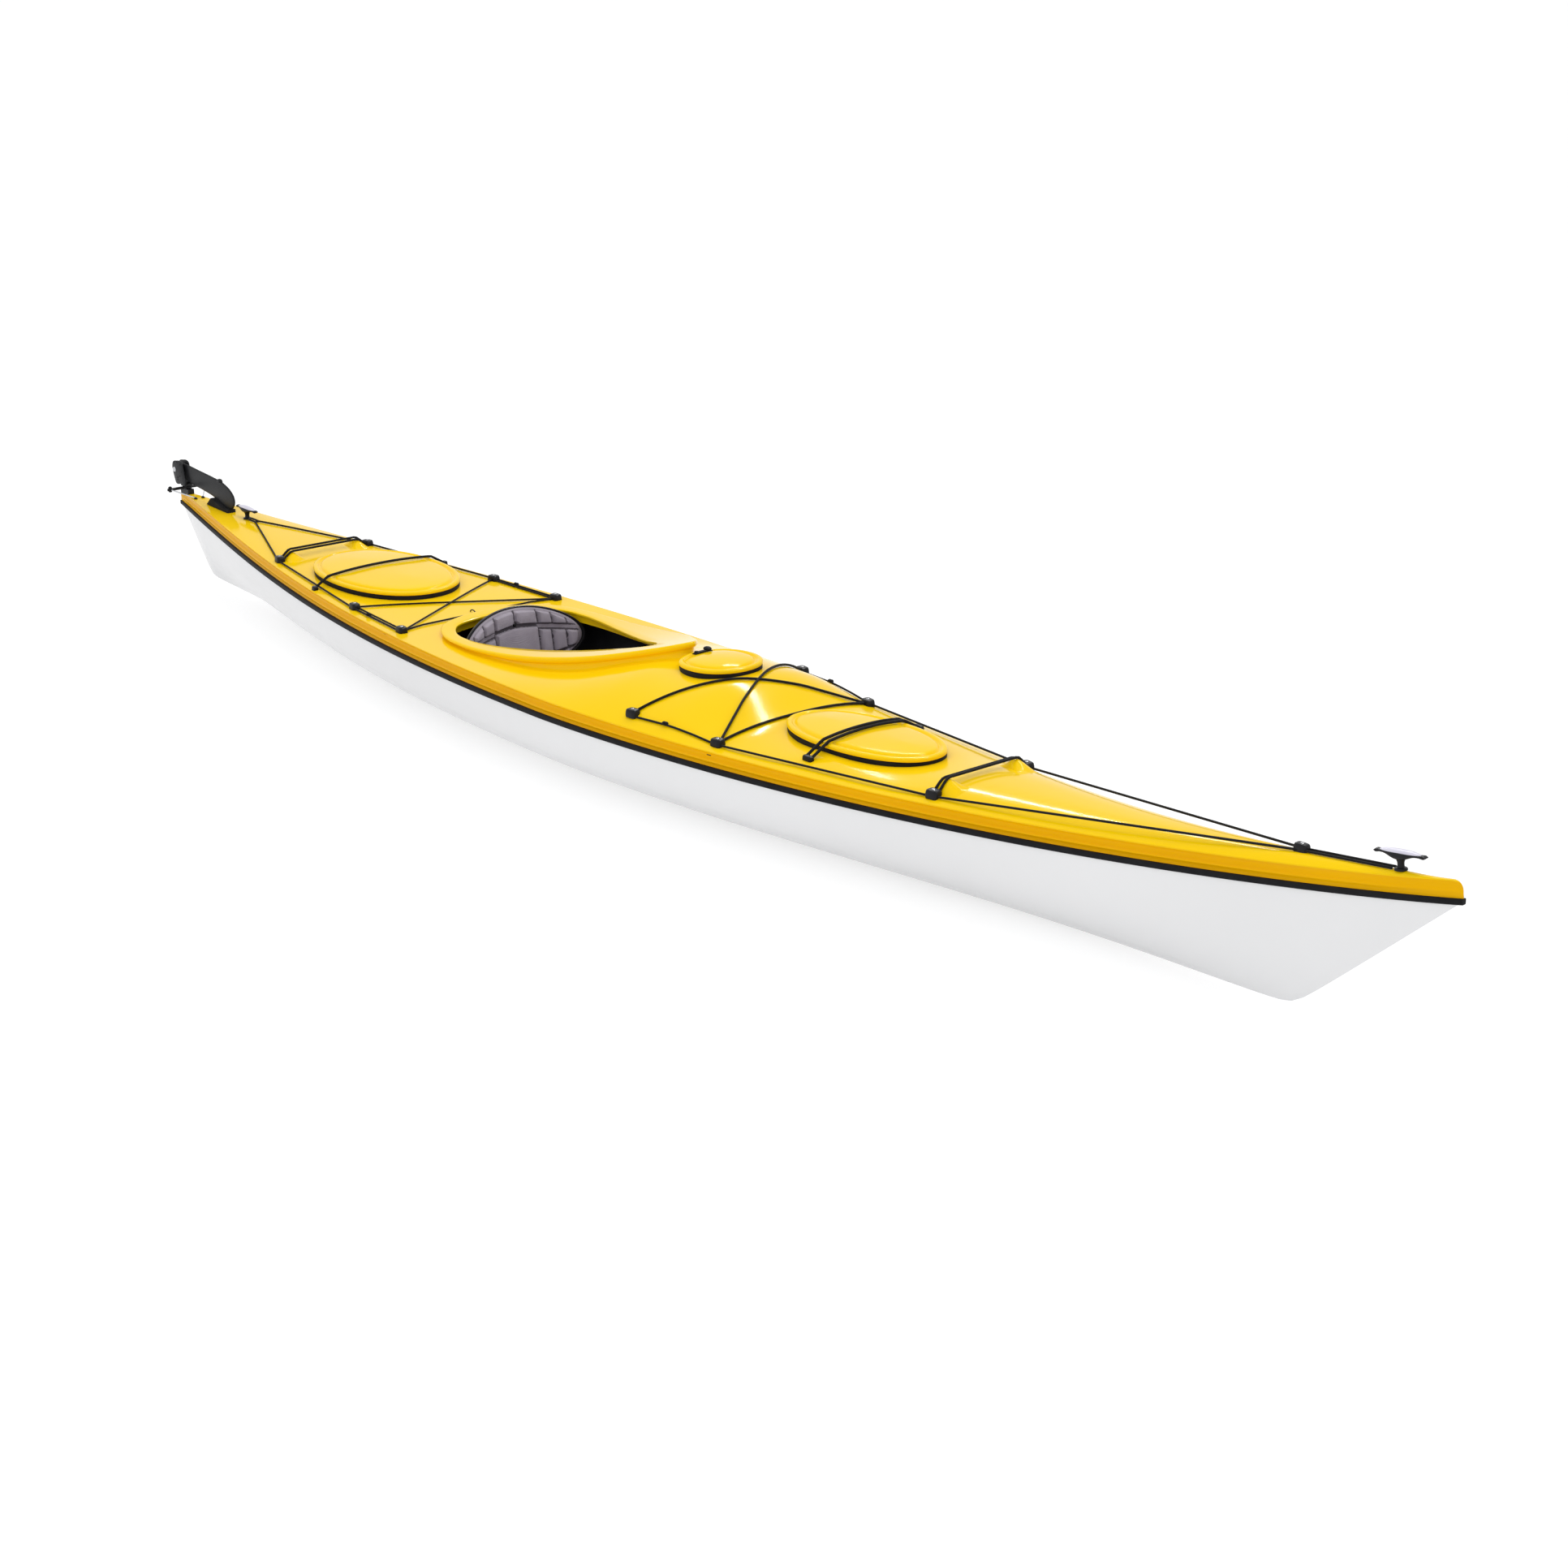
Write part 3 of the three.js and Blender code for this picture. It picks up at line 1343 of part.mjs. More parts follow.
function makeHead() {
  const outline = headShares.map(([back, up]) => [
    pinX + mountWidth - headReach * back, headFloor + headBase + headHeight * up,
  ]);
  const plates = both.map(([, side]) => sideExtrude(outline, headPlate)
    .translate(0, side * (headWidth - headPlate) / 2, 0));
  const base = box(
    pinX - mountWidth * 0.1, 0, headFloor + headBase / 2, headBaseLength, headWidth, headBase,
  );
  const bore = upright(pinX, 0, headFloor - headBase, pinRadius + fitGap, 3 * headBase);
  const boltBore = crossBar(pivot.x, 0, pivot.z, boltRadius + fitGap, 3 * headWidth);
  return join([...plates, base].map(solid)).subtract(solid(bore)).subtract(solid(boltBore));
}

// Blade outline: along its length and across it, from the pivot
const bladeLength = sternHandleX - handleHalfLength - bladeClear - pivot.x;
const bladeShares = [
  [0.04, -0.74], [0.12, -0.86], [0.2, -0.92], [0.3, -0.95], [0.39, -0.95], [0.52, -1],
  [0.63, -1.1], [0.74, -1.34], [0.86, -1.58], [0.94, -1.5], [0.978, -1.14], [1, -0.6],
  [0.984, 0], [0.93, 0.48], [0.85, 0.8], [0.76, 0.97], [0.66, 1], [0.4, 0.98], [0.11, 0.92],
  [0, 0.7], [-0.05, 0.3], [-0.06, -0.1], [-0.03, -0.5],
];

function bladeBody(width) {
  const lean = degrees(bladeDroop);
  const outline = smoothOutline(bladeShares, 44).map(([along, across]) => {
    const a = along * bladeLength;
    const b = across * bladeHalf;
    return [
      pivot.x + a * Math.cos(lean) + b * Math.sin(lean),
      pivot.z - a * Math.sin(lean) + b * Math.cos(lean),
    ];
  });
  return sideExtrude(outline, width);
}

function makeBlade() {
  const lumpX = pivot.x + bladeLumpShare * bladeLength;
  const drop = Math.tan(degrees(bladeDroop)) * (lumpX - pivot.x);
  const lump = box(
    lumpX, 0, pivot.z - drop + bladeHalf * bladeTopShare, bladeLump * 2, bladeThickness * 1.8, bladeLump,
  );
  const hub = crossBar(pivot.x, 0, pivot.z, bladeHub, headWidth - 2 * headPlate - 2 * fitGap);
  const bore = crossBar(pivot.x, 0, pivot.z, boltRadius + fitGap, 3 * headWidth);
  return join([bladeBody(bladeThickness), lump, hub].map(solid)).subtract(solid(bore));
}

function makeBolt() {
  const half = headWidth / 2 + fitGap;
  const profile = [
    [0, -half - boltHeadTall], [boltHead, -half - boltHeadTall], [boltHead, -half], [boltRadius, -half],
    [boltRadius, half], [boltHead, half], [boltHead, half + boltHeadTall], [0, half + boltHeadTall],
  ];
  return new THREE.LatheGeometry(profile.map(([r, y]) => new THREE.Vector2(r, y)), 12)
    .translate(pivot.x, 0, pivot.z);
}

// The chock fills the space between the deck and the blade's lower edge, with a pointed back foot
function makeChock() {
  const back = stationX(chockShares.back);
  const front = stationX(chockShares.front);
  const top = pivot.z - bladeHalf * 1.2;
  const outline = [
    [back, edgeZ(back) - chockFoot], [front, edgeZ(front) - chockFoot], [front, top],
    [back + chockSlant, top], [back, deckZ(back, 0) + fitGap],
  ];
  const above = bladeBody(3 * chockWidth).translate(0, 0, -chockGap);
  return solid(sideExtrude(outline, chockWidth)).subtract(solid(above)).subtract(deckCutter);
}

// A steering cable from the tiller's end to where it enters the deck
function makeCable(side) {
  const start = v3(pinX + tillerEye + fitGap * 2 + cableRadius, side * tillerSpan / 2, tillerBase + tillerHeight / 2);
  const endX = pinX + cableEnd;
  const y = side * cableEndSide;
  const end = v3(endX, y, deckZ(endX, y) + cableRadius + cordLift);
  const middle = start.clone().lerp(end, 0.5);
  const body = solid(tube([start, middle, end], cableRadius));
  const gland = solid(new THREE.SphereGeometry(cableGrip, 8, 6).translate(end.x, end.y, end.z - cableGrip / 2));
  return body.add(gland).subtract(deckCutter);
}

// Hull, deck and what joins them
const hullBody = solid(loft(stations.map((x) => hullRing(x, 0, 0))));
const floorCut = solid(box(0, 0, -halfLength / 2, 3 * halfLength, 3 * halfLength, halfLength));
const hullShell = hullBody.subtract(floorCut).subtract(hullSpace(hullWall, overrun));
addNode('hull_shell', geometryOf(hullShell), white, 0.25);
addNode('deck_shell', geometryOf(makeDeck()), yellow, 0.2);
addNode('seam_strip', makeStrip(), black, 0.6);
addNode('cockpit_coaming', geometryOf(makeCoaming()), yellow, 0.2);
addNode('front_bulkhead', geometryOf(makeBulkhead(frontBulkheadShare)), black, 0.7);
addNode('rear_bulkhead', geometryOf(makeBulkhead(rearBulkheadShare)), black, 0.7);
addNode('day_hatch_pod', geometryOf(makePod()), black, 0.6);

// Hatches
for (const [name, hatch] of Object.entries(hatches)) {
  addNode(`${name}_hatch_cover`, makeCover(hatch), yellow, 0.2);
  addNode(`${name}_hatch_gasket`, geometryOf(makeGasket(hatch)), black, 0.8);
}
addNode('day_hatch_strap', geometryOf(makeStrap()), black, 0.6);

// Seat, backrest and braces
addNode('seat_pan', geometryOf(makeSeatPan()), black, 0.5);
addNode('seat_pad', geometryOf(makeSeatPad()), grey, 0.9);
addNode('backrest_shell', geometryOf(makeBackShell()), black, 0.5);
addNode('backrest_pad', makeBackPad(), grey, 0.9);
for (const [name, side] of both) {
  addNode(`seat_rail_${name}`, geometryOf(makeRail(side)), black, 0.6);
  addNode(`thigh_brace_${name}`, geometryOf(makeThighBrace(side)), black, 0.8);
  addNode(`foot_rail_${name}`, geometryOf(makeFootRail(side)), metal, 0.4, 0.8);
  addNode(`foot_carrier_${name}`, geometryOf(makeCarrier(side)), black, 0.5);
  addNode(`toe_pedal_${name}`, geometryOf(makePedal(side)), black, 0.5);
}

// Rigging: each cord, then the fittings bored for the cords that pass through them
const cords = {
  bow_deck_bungee: [bowDeckBungee, bungeeRadius, topZ],
  stern_deck_bungee: [sternDeckBungee, bungeeRadius, topZ],
  bow_paddle_bungee: [paddleCords('d'), bungeeRadius, topZ],
  stern_paddle_bungee: [paddleCords('f'), bungeeRadius, topZ],
  bow_deck_line: [bowDeckLine, lineRadius, topZ],
  stern_deck_line: [sternDeckLine, lineRadius, topZ],
};
const knots = {
  bow_deck_line: both.map(([, side]) => knotOn(bowDeckLine[side > 0 ? 0 : 4], stationX(bowKnotShare))),
  stern_deck_line: both.map(([, side]) => knotOn(sternDeckLine[side > 0 ? 0 : 4], stationX(sternKnotShare))),
};
const borers = [];
for (const [name, [runs, radius, height]] of Object.entries(cords)) {
  const body = join([cordBody(runs, radius, height), ...(knots[name] ?? [])]);
  addNode(name, geometryOf(body), black, 0.85);
  borers.push(cordTool(runs, radius, height));
}
const borer = join(borers);
for (const key of Object.keys(fittingShares)) {
  for (const [name, side] of both) {
    addNode(`deck_fitting_${key}_${name}`, geometryOf(makeFitting(key, side, borer)), black, 0.5);
  }
}
addNode('deck_fitting_nose', geometryOf(
  deckBlock(nose, 0, fittingLength, noseFittingWidth, fittingHeight).subtract(borer),
), black, 0.5);

// Hatch cords, with a flat hook at each end
const hatchCords = {
  bow_hatch_cord: [bowHatchRuns, bowHookShare, bowHookInset, hookLength],
  stern_hatch_cord: [sternHatchRuns, sternHookShare, sternHookInset, sternHookLength],
};
for (const [name, [runs, share, inset, length]] of Object.entries(hatchCords)) {
  const x = stationX(share);
  const y = halfBreadth(x) - inset;
  const hooks = both.map(([, side]) => deckBlock(x, side * y, length, hookWidth, hookHeight));
  addNode(name, geometryOf(join([cordBody(runs, hatchCordRadius, overLines), ...hooks])), black, 0.85);
}

// Handles
addNode('bow_handle', geometryOf(makeHandle(bowHandleX)), black, 0.5);
addNode('stern_handle', geometryOf(makeHandle(sternHandleX)), black, 0.5);

// Rudder
addNode('rudder_mount', geometryOf(makeRudderMount()), black, 0.5);
addNode('rudder_pin', makePin(), metal, 0.3, 1);
addNode('tiller_bar', makeTiller(), black, 0.5);
addNode('rudder_head', geometryOf(makeHead()), black, 0.5);
addNode('rudder_blade', geometryOf(makeBlade()), black, 0.45);
addNode('blade_bolt', makeBolt(), metal, 0.3, 1);
addNode('rudder_chock', geometryOf(makeChock()), black, 0.6);
for (const [name, side] of both) {
  addNode(`steering_cable_${name}`, geometryOf(makeCable(side)), metal, 0.4, 0.8);
}

export default group;
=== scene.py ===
import json
from math import atan2, copysign, cos, hypot, pi, radians, sin, sqrt, tan

import bmesh
import bpy
import numpy as np
from mathutils import Matrix, Vector


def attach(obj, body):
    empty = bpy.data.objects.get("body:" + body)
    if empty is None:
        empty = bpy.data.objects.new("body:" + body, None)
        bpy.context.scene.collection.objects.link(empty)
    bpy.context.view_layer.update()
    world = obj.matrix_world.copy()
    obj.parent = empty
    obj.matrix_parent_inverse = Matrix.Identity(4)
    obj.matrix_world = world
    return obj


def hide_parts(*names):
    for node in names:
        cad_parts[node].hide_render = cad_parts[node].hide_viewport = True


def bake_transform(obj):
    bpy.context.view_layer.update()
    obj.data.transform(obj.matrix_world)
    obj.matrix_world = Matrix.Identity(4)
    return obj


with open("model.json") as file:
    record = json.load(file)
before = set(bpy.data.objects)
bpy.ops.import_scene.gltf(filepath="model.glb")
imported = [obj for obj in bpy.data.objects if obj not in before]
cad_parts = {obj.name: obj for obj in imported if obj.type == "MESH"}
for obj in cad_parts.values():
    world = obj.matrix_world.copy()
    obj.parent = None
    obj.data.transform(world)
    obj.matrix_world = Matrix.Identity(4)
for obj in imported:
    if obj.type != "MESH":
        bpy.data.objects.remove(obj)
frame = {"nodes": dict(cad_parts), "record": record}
scene = bpy.context.scene
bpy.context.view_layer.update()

# The boat's lines, in millimetres as in the part's source. Meshes are made in metres.
MM = 0.001
GAP = 0.35
HALF_LENGTH, STERN_LENGTH = 2360.0, 2302.0
BEAM = 288.8
END_WIDTH, TIP_WIDTH = 12.0, 1.6
PLAN = {"bow": (1.618, 1.7), "stern": (2.152, 1.28)}
SEAM = 173.1
SHEER = {"bow": (158.0, 3.035), "stern": (63.4, 2.72)}
KEEL_FLAT, ROCKER_START = 1.5, 0.2
ROCKER = {"bow": 31.8, "stern": 46.1}
STEM = {"bow": 0.842, "stern": 0.918}
STEM_BLEND, END_DEPTH = 20.0, 7.0
SECTION_MIDDLE, SECTION_END = (1.9, 3.77), (0.95, 1.1)
BAND, BAND_LEAN, COVE, LEAN_FADE, BOW_RAKE = 38.0, 8.0, 9.0, 30.0, 5.0
DECK_WALL, HULL_WALL, HOLLOW_END = 4.5, 5.0, 0.93
CROWN, CROWN_SHAPE = 88.0, 2.5
CROWN_TABLE = [
    (-1, 0), (-0.912, 0), (-0.789, 0.09), (-0.652, 0.11), (-0.492, 0.09), (-0.369, 0.045), (-0.287, 0),
    (-0.195, 0), (-0.13, 0.045), (-0.087, 0.125), (-0.043, 0.27), (0, 0.48), (0.042, 0.74),
    (0.085, 0.93), (0.127, 0.966), (0.178, 1), (0.212, 0.77), (0.233, 0.5), (0.254, 0.27),
    (0.297, 0.25), (0.347, 0.32), (0.441, 0.25), (0.508, 0.34), (0.678, 0.27), (0.847, 0.193),
    (0.932, 0.1), (0.992, 0), (1, 0),
]
COVE_TABLE = [
    (0, 0), (0.06, 0.25), (0.14, 0.8), (0.26, 1.05), (0.36, 0.85), (0.43, 0.42), (0.49, 0.42), (0.55, 0.9),
    (0.64, 1.3), (0.76, 1.35), (0.86, 1.15), (0.94, 0.85), (1, 0.8),
]
END_ROUND = {"bow": 26.0, "stern": 12.0}
BAND_STEPS = [
    0, 0.03, 0.06, 0.1, 0.14, 0.2, 0.26, 0.31, 0.36, 0.4, 0.43, 0.46, 0.49, 0.52, 0.55, 0.59, 0.64, 0.7, 0.76,
    0.81, 0.86, 0.9, 0.94, 0.98,
]
REST_BACK, REST_FRONT, REST_HALF, REST_RISE, REST_SHAPE = 30.0, 46.0, 25.0, 20.0, 1.6
LIP_OUTER = [
    (1, 0), (0.97, 0.16), (0.9, 0.36), (0.77, 0.66), (0.6, 0.86), (0.43, 0.96), (0.27, 1),
    (0.14, 0.93), (0.05, 0.71), (0.01, 0.36),
]
LIP_INNER = [
    (1, 0), (0.975, 0.14), (0.85, 0.32), (0.7, 0.54), (0.54, 0.75), (0.37, 0.93), (0.24, 1),
    (0.12, 0.94), (0.035, 0.7), (0.005, 0.34),
]
LIP_BACK, LIP_TIP, OPEN_BACK, OPEN_FRONT = -0.2891, 0.0915, -0.2686, 0.027
LIP_HALF, OPENING_HALF = 212.0, 172.0
LIP_BACK_HEIGHT, LIP_TIP_HEIGHT, LIP_DIP = 232.0, 335.0, 40.0
LIP_OVERHANG, COAMING_WALL = 20.0, 5.0
SKIRT, DOME, COLLAR_INSET, COLLAR_WALL, COLLAR_DEPTH = 11.0, 9.0, 12.0, 4.0, 34.0
HATCHES = {
    "bow": {"share": 0.347, "rim": 258.5, "half": (222.08, 114.0), "slope": 0.02},
    "day": {"share": 0.1356, "rim": 314.0, "half": (97.94, 92.5), "slope": 0.03},
    "stern": {"share": -0.4921, "rim": 246.0, "half": (250.0, 164.0), "slope": -0.02},
}
OVAL = 2.15
BUNGEE, LINE, HATCH_CORD = 3.0, 2.5, 3.5
FITTING, NOSE_FITTING, SCREW_RADIUS = (32.0, 24.0, 15.0), (32, 18, 15), 3.6
FITTING_SPLIT = 5.5
FITTING_SHARES = {"a": 0.133, "b": 0.246, "d": 0.498, "f": -0.6346, "h": -0.4075, "i": -0.2945}
FITTING_INSETS = {"a": 36.0, "b": 36.0, "d": 30.0, "f": 32.0, "h": 34.0, "i": 40.0}
SIDES = (("left", 1), ("right", -1))
# How finely each kind of mesh is divided
HULL_STEPS, CROWN_STEPS, HATCH_STEPS, LIP_STEPS, TUBE_SIDES, BLOCK_SIDES = 26, 44, 112, 240, 10, 28


def side_of(x):
    return "bow" if x > 0 else "stern"


def smooth(low, high, value):
    t = min(max((value - low) / (high - low), 0.0), 1.0)
    return t * t * (3 - 2 * t)


def turns(count):
    return [2 * pi * k / count for k in range(count)]


def signed(value, power):
    return copysign(abs(value) ** power, value)


def eased(table, place):
    last = len(table) - 1
    x = min(max(place, table[0][0]), table[last][0])
    k = 0
    while k < last - 1 and x > table[k + 1][0]:
        k += 1

    def slope(i):
        if i <= 0 or i >= last:
            return 0.0
        before = (table[i][1] - table[i - 1][1]) / (table[i][0] - table[i - 1][0])
        after = (table[i + 1][1] - table[i][1]) / (table[i + 1][0] - table[i][0])
        return 0.0 if before * after <= 0 else 2 / (1 / before + 1 / after)

    span = table[k + 1][0] - table[k][0]
    t = (x - table[k][0]) / span
    rise = table[k + 1][1] - table[k][1]
    ease = table[k][1] + rise * t * t * (3 - 2 * t)
    return ease + span * t * (1 - t) * (slope(k) * (1 - t) - slope(k + 1) * t)


def share_at(x):
    return x / (HALF_LENGTH if x > 0 else STERN_LENGTH)


def end_share(x):
    return min(abs(share_at(x)), 1.0)


def station(share):
    return share * (HALF_LENGTH if share > 0 else STERN_LENGTH)


def half_at(x):
    s = end_share(x)
    inner, outer = PLAN[side_of(x)]
    return BEAM * (1 - s ** inner) ** outer + END_WIDTH * (1 - s ** 20) + TIP_WIDTH


def seam_z(x):
    rise, power = SHEER[side_of(x)]
    return SEAM + rise * end_share(x) ** power


def keel_z(x):
    s = end_share(x)
    climb = max(s - ROCKER_START, 0) / (1 - ROCKER_START)
    rocker = ROCKER[side_of(x)] * climb ** 2 - KEEL_FLAT
    share = STEM[side_of(x)]
    stem = seam_z(station(copysign(1, x))) * (s - share) / (1 - share)
    blend = (rocker + stem + hypot(rocker - stem, STEM_BLEND)) / 2
    return min(rocker + (blend - rocker) * smooth(share - 0.15, share, s), seam_z(x) - END_DEPTH)


def edge_z(x):
    return seam_z(x) + BAND


def edge_half(x):
    b = half_at(x)
    return b - BAND_LEAN * b / (b + LEAN_FADE)


def deck_z(x, y):
    across = min(abs(y) / edge_half(x), 1.0)
    return edge_z(x) + CROWN * eased(CROWN_TABLE, share_at(x)) * (1 - across ** CROWN_SHAPE)


def hatch_ring(hatch, inset, level):
    centre = station(hatch["share"])
    ring = []
    for turn in turns(HATCH_STEPS):
        dx = (hatch["half"][0] - inset) * signed(cos(turn), 2 / OVAL)
        dy = (hatch["half"][1] - inset) * signed(sin(turn), 2 / OVAL)
        ring.append((centre + dx, dy, hatch["rim"] + hatch["slope"] * dx + level))
    return ring


def cover_top(hatch, x, y):
    dx = x - station(hatch["share"])
    away = (abs(dx) / hatch["half"][0]) ** OVAL + (abs(y) / hatch["half"][1]) ** OVAL
    if away > 1:
        return -HALF_LENGTH
    return hatch["rim"] + hatch["slope"] * dx + DOME * (1 - away) + 3 * GAP


REST_PLACES = ((0.4995, 98.0), (-0.6377, 104.0))
RESTS = [(station(share), side * y) for share, y in REST_PLACES for side in (1, -1)]


def rest_lift(along, across):
    if max(abs(along), abs(across)) >= 1:
        return 0.0
    return REST_RISE * (1 - abs(along) ** REST_SHAPE) * (1 - abs(across) ** REST_SHAPE)


def top_z(x, y):
    top = deck_z(x, y)
    for cx, cy in RESTS:
        reach = REST_FRONT if x > cx else REST_BACK
        top = max(top, deck_z(x, y) + rest_lift((x - cx) / reach, (y - cy) / REST_HALF))
    return max([top] + [cover_top(hatch, x, y) for hatch in HATCHES.values()])


# Mesh helpers
def put(name, data):
    obj = bpy.data.objects.new(name, data)
    scene.collection.objects.link(obj)
    return obj


def make(name, verts, faces, mats, body=None, replaces=(), angle=35, slot=None, pick=None):
    """A mesh of one or more materials; given a body, it is fixed to that body and the parts it replaces are
    hidden.
    """
    mats = mats if isinstance(mats, list) else [mats]
    mesh = bpy.data.meshes.new(name)
    mesh.from_pydata([tuple(c * MM for c in v) for v in verts], [], faces)
    for mat in mats:
        mesh.materials.append(mat)
    obj = put(name, mesh)
    bm = bmesh.new()
    bm.from_mesh(mesh)
    bmesh.ops.remove_doubles(bm, verts=bm.verts, dist=1e-6)
    bmesh.ops.recalc_face_normals(bm, faces=bm.faces)
    bm.to_mesh(mesh)
    bm.free()
    finish_mesh(obj, angle, pick)
    if body:
        place(obj, body, replaces, slot or SLOT_OF[mats[0].name])
    return obj


def finish_mesh(obj, angle, pick=None):
    mesh = obj.data
    mesh.shade_smooth()
    mesh.set_sharp_from_angle(angle=radians(angle))
    if pick:
        for poly in mesh.polygons:
            poly.material_index = pick(poly.center / MM, poly.normal)


def place(obj, body, replaces, slot):
    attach(obj, body)
    if replaces:
        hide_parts(*replaces)


def loft(rings, loop=False, closed=True):
    """Faces through equal rings of points, with end caps; loop joins the last ring to the first instead."""
    count = len(rings[0])
    verts = [p for ring in rings for p in ring]
    faces = []
    around = count if closed else count - 1
    for i in range(len(rings) if loop else len(rings) - 1):
        a, b = i * count, (i + 1) % len(rings) * count
        for k in range(around):
            n = (k + 1) % count
            faces.append((a + k, a + n, b + n, b + k))
    if closed and not loop:
        faces.append(tuple(range(count)))
        faces.append(tuple(reversed(range(len(verts) - count, len(verts)))))
    return verts, faces


def merged(*parts):
    verts, faces = [], []
    for v, f in parts:
        faces += [tuple(i + len(verts) for i in face) for face in f]
        verts += list(v)
    return verts, faces


def cut(obj, tools):
    for tool in tools:
        mod = obj.modifiers.new("cut", "BOOLEAN")
        mod.object, mod.operation, mod.solver = tool, "DIFFERENCE", "MANIFOLD"
    bpy.context.view_layer.update()
    done = bpy.data.meshes.new_from_object(obj.evaluated_get(bpy.context.evaluated_depsgraph_get()))
    obj.modifiers.clear()
    obj.data = done
    for tool in tools:
        bpy.data.objects.remove(tool)


def tube(points, radius):
    pts = np.array(points, float)
    along = np.gradient(pts, axis=0)
    along /= np.linalg.norm(along, axis=1)[:, None]
    rings = []
    side = np.cross((0, 0, 1.0), along[0])
    if np.linalg.norm(side) < 0.1:
        side = np.array((0, 1.0, 0))
    for p, a in zip(pts, along):
        side = side - a * side.dot(a)
        side /= np.linalg.norm(side)
        up = np.cross(a, side)
        rings.append([p + radius * (side * cos(t) + up * sin(t)) for t in turns(TUBE_SIDES)])
    return loft(rings)


def ellipsoid(centre, radii, rows=10, columns=20):
    rings = []
    for j in range(1, rows):
        lat = pi * (j / rows - 0.5)
        rings.append([
            (centre[0] + radii[0] * cos(lat) * cos(t),
             centre[1] + radii[1] * cos(lat) * sin(t),
             centre[2] + radii[2] * sin(lat))
            for t in turns(columns)
        ])
    return loft(rings)


def lathe(profile, centre, sides, axis="Z"):
    """Profile points are (radius, place along the axis)."""
    rings = []
    for r, h in profile:
        ring = []
        for t in turns(sides):
            a, b = r * cos(t), r * sin(t)
            d = (a, b, h) if axis == "Z" else (a, h, b)
            ring.append(tuple(c + e for c, e in zip(centre, d)))
        rings.append(ring)
    return loft(rings)


def closed_curve(points, count):
    """A centripetal curve through the points, as places evenly spaced along it."""
    pts = [np.array(p, float) for p in points]
    n = len(pts)
    dense = []
    for i in range(n):
        p0, p1, p2, p3 = (pts[(i + j) % n] for j in (-1, 0, 1, 2))
        pairs = ((p0, p1), (p1, p2), (p2, p3))
        t01, t12, t23 = (max(np.linalg.norm(b - a) ** 0.5, 1e-6) for a, b in pairs)
        m1 = (p1 - p0) / t01 - (p2 - p0) / (t01 + t12) + (p2 - p1) / t12
        m2 = (p2 - p1) / t12 - (p3 - p1) / (t12 + t23) + (p3 - p2) / t23
        m1, m2 = m1 * t12, m2 * t12
        for u in np.linspace(0, 1, 24, endpoint=False):
            dense.append(
                (2 * u ** 3 - 3 * u ** 2 + 1) * p1 + (u ** 3 - 2 * u ** 2 + u) * m1
                + (3 * u ** 2 - 2 * u ** 3) * p2 + (u ** 3 - u ** 2) * m2
            )
    dense = np.array(dense + [dense[0]])
    run = np.concatenate([[0], np.cumsum(np.linalg.norm(np.diff(dense, axis=0), axis=1))])
    at = np.linspace(0, run[-1], count, endpoint=False)
    return np.stack([np.interp(at, run, dense[:, c]) for c in range(dense.shape[1])], 1)


# Materials
def nodes_of(mat):
    mat.use_nodes = True
    tree = mat.node_tree
    return tree, tree.nodes["Principled BSDF"]


def link(tree, a, b):
    tree.links.new(a, b)


def fill(node, values):
    for key, value in values.items():
        if key in node.inputs:
            node.inputs[key].default_value = value
        else:
            setattr(node, key, value)
    return node


def add(tree, kind, **values):
    return fill(tree.nodes.new(kind), values)


def ramp(tree, fac, low, high, at=(0.3, 0.7)):
    node = tree.nodes.new("ShaderNodeValToRGB")
    node.color_ramp.elements[0].position, node.color_ramp.elements[1].position = at
    node.color_ramp.elements[0].color = (*low, 1)
    node.color_ramp.elements[1].color = (*high, 1)
    link(tree, fac, node.inputs["Fac"])
    return node.outputs["Color"]


def both(tree, operation, a, b):
    """A maths node fed by two outputs, or by an output and a number."""
    node = add(tree, "ShaderNodeMath", operation=operation)
    for value, socket in zip((a, b), node.inputs):
        if isinstance(value, float):
            socket.default_value = value
        else:
            link(tree, value, socket)
    return node.outputs[0]


def surface(name, low, high, rough, scale, bump, bump_scale, kind="noise", metal=0.0, sheen=0.0, shine=0.5):
    """A shader whose colour and roughness vary with a noise, and whose relief is grain, weave or braid."""
    mat = bpy.data.materials.new(name)
    tree, shader = nodes_of(mat)
    coords = add(tree, "ShaderNodeTexCoord").outputs["Object"]
    noise = add(tree, "ShaderNodeTexNoise", Scale=scale, Detail=4.0)
    link(tree, coords, noise.inputs["Vector"])
    link(tree, ramp(tree, noise.outputs["Fac"], low, high), shader.inputs["Base Color"])
    shade = add(tree, "ShaderNodeMapRange", **{"To Min": rough * 0.85, "To Max": rough * 1.15})
    link(tree, noise.outputs["Fac"], shade.inputs["Value"])
    link(tree, shade.outputs["Result"], shader.inputs["Roughness"])
    fill(shader, {"Metallic": metal, "Specular IOR Level": shine, "Sheen Weight": sheen})
    if kind == "noise":
        fine = add(tree, "ShaderNodeTexNoise", Scale=bump_scale, Detail=3.0)
        link(tree, coords, fine.inputs["Vector"])
        height = fine.outputs["Fac"]
    else:
        height = woven(tree, coords, bump_scale, kind)
    relief = add(tree, "ShaderNodeBump", Strength=bump, Distance=0.001)
    link(tree, height, relief.inputs["Height"])
    link(tree, relief.outputs["Normal"], shader.inputs["Normal"])
    return mat


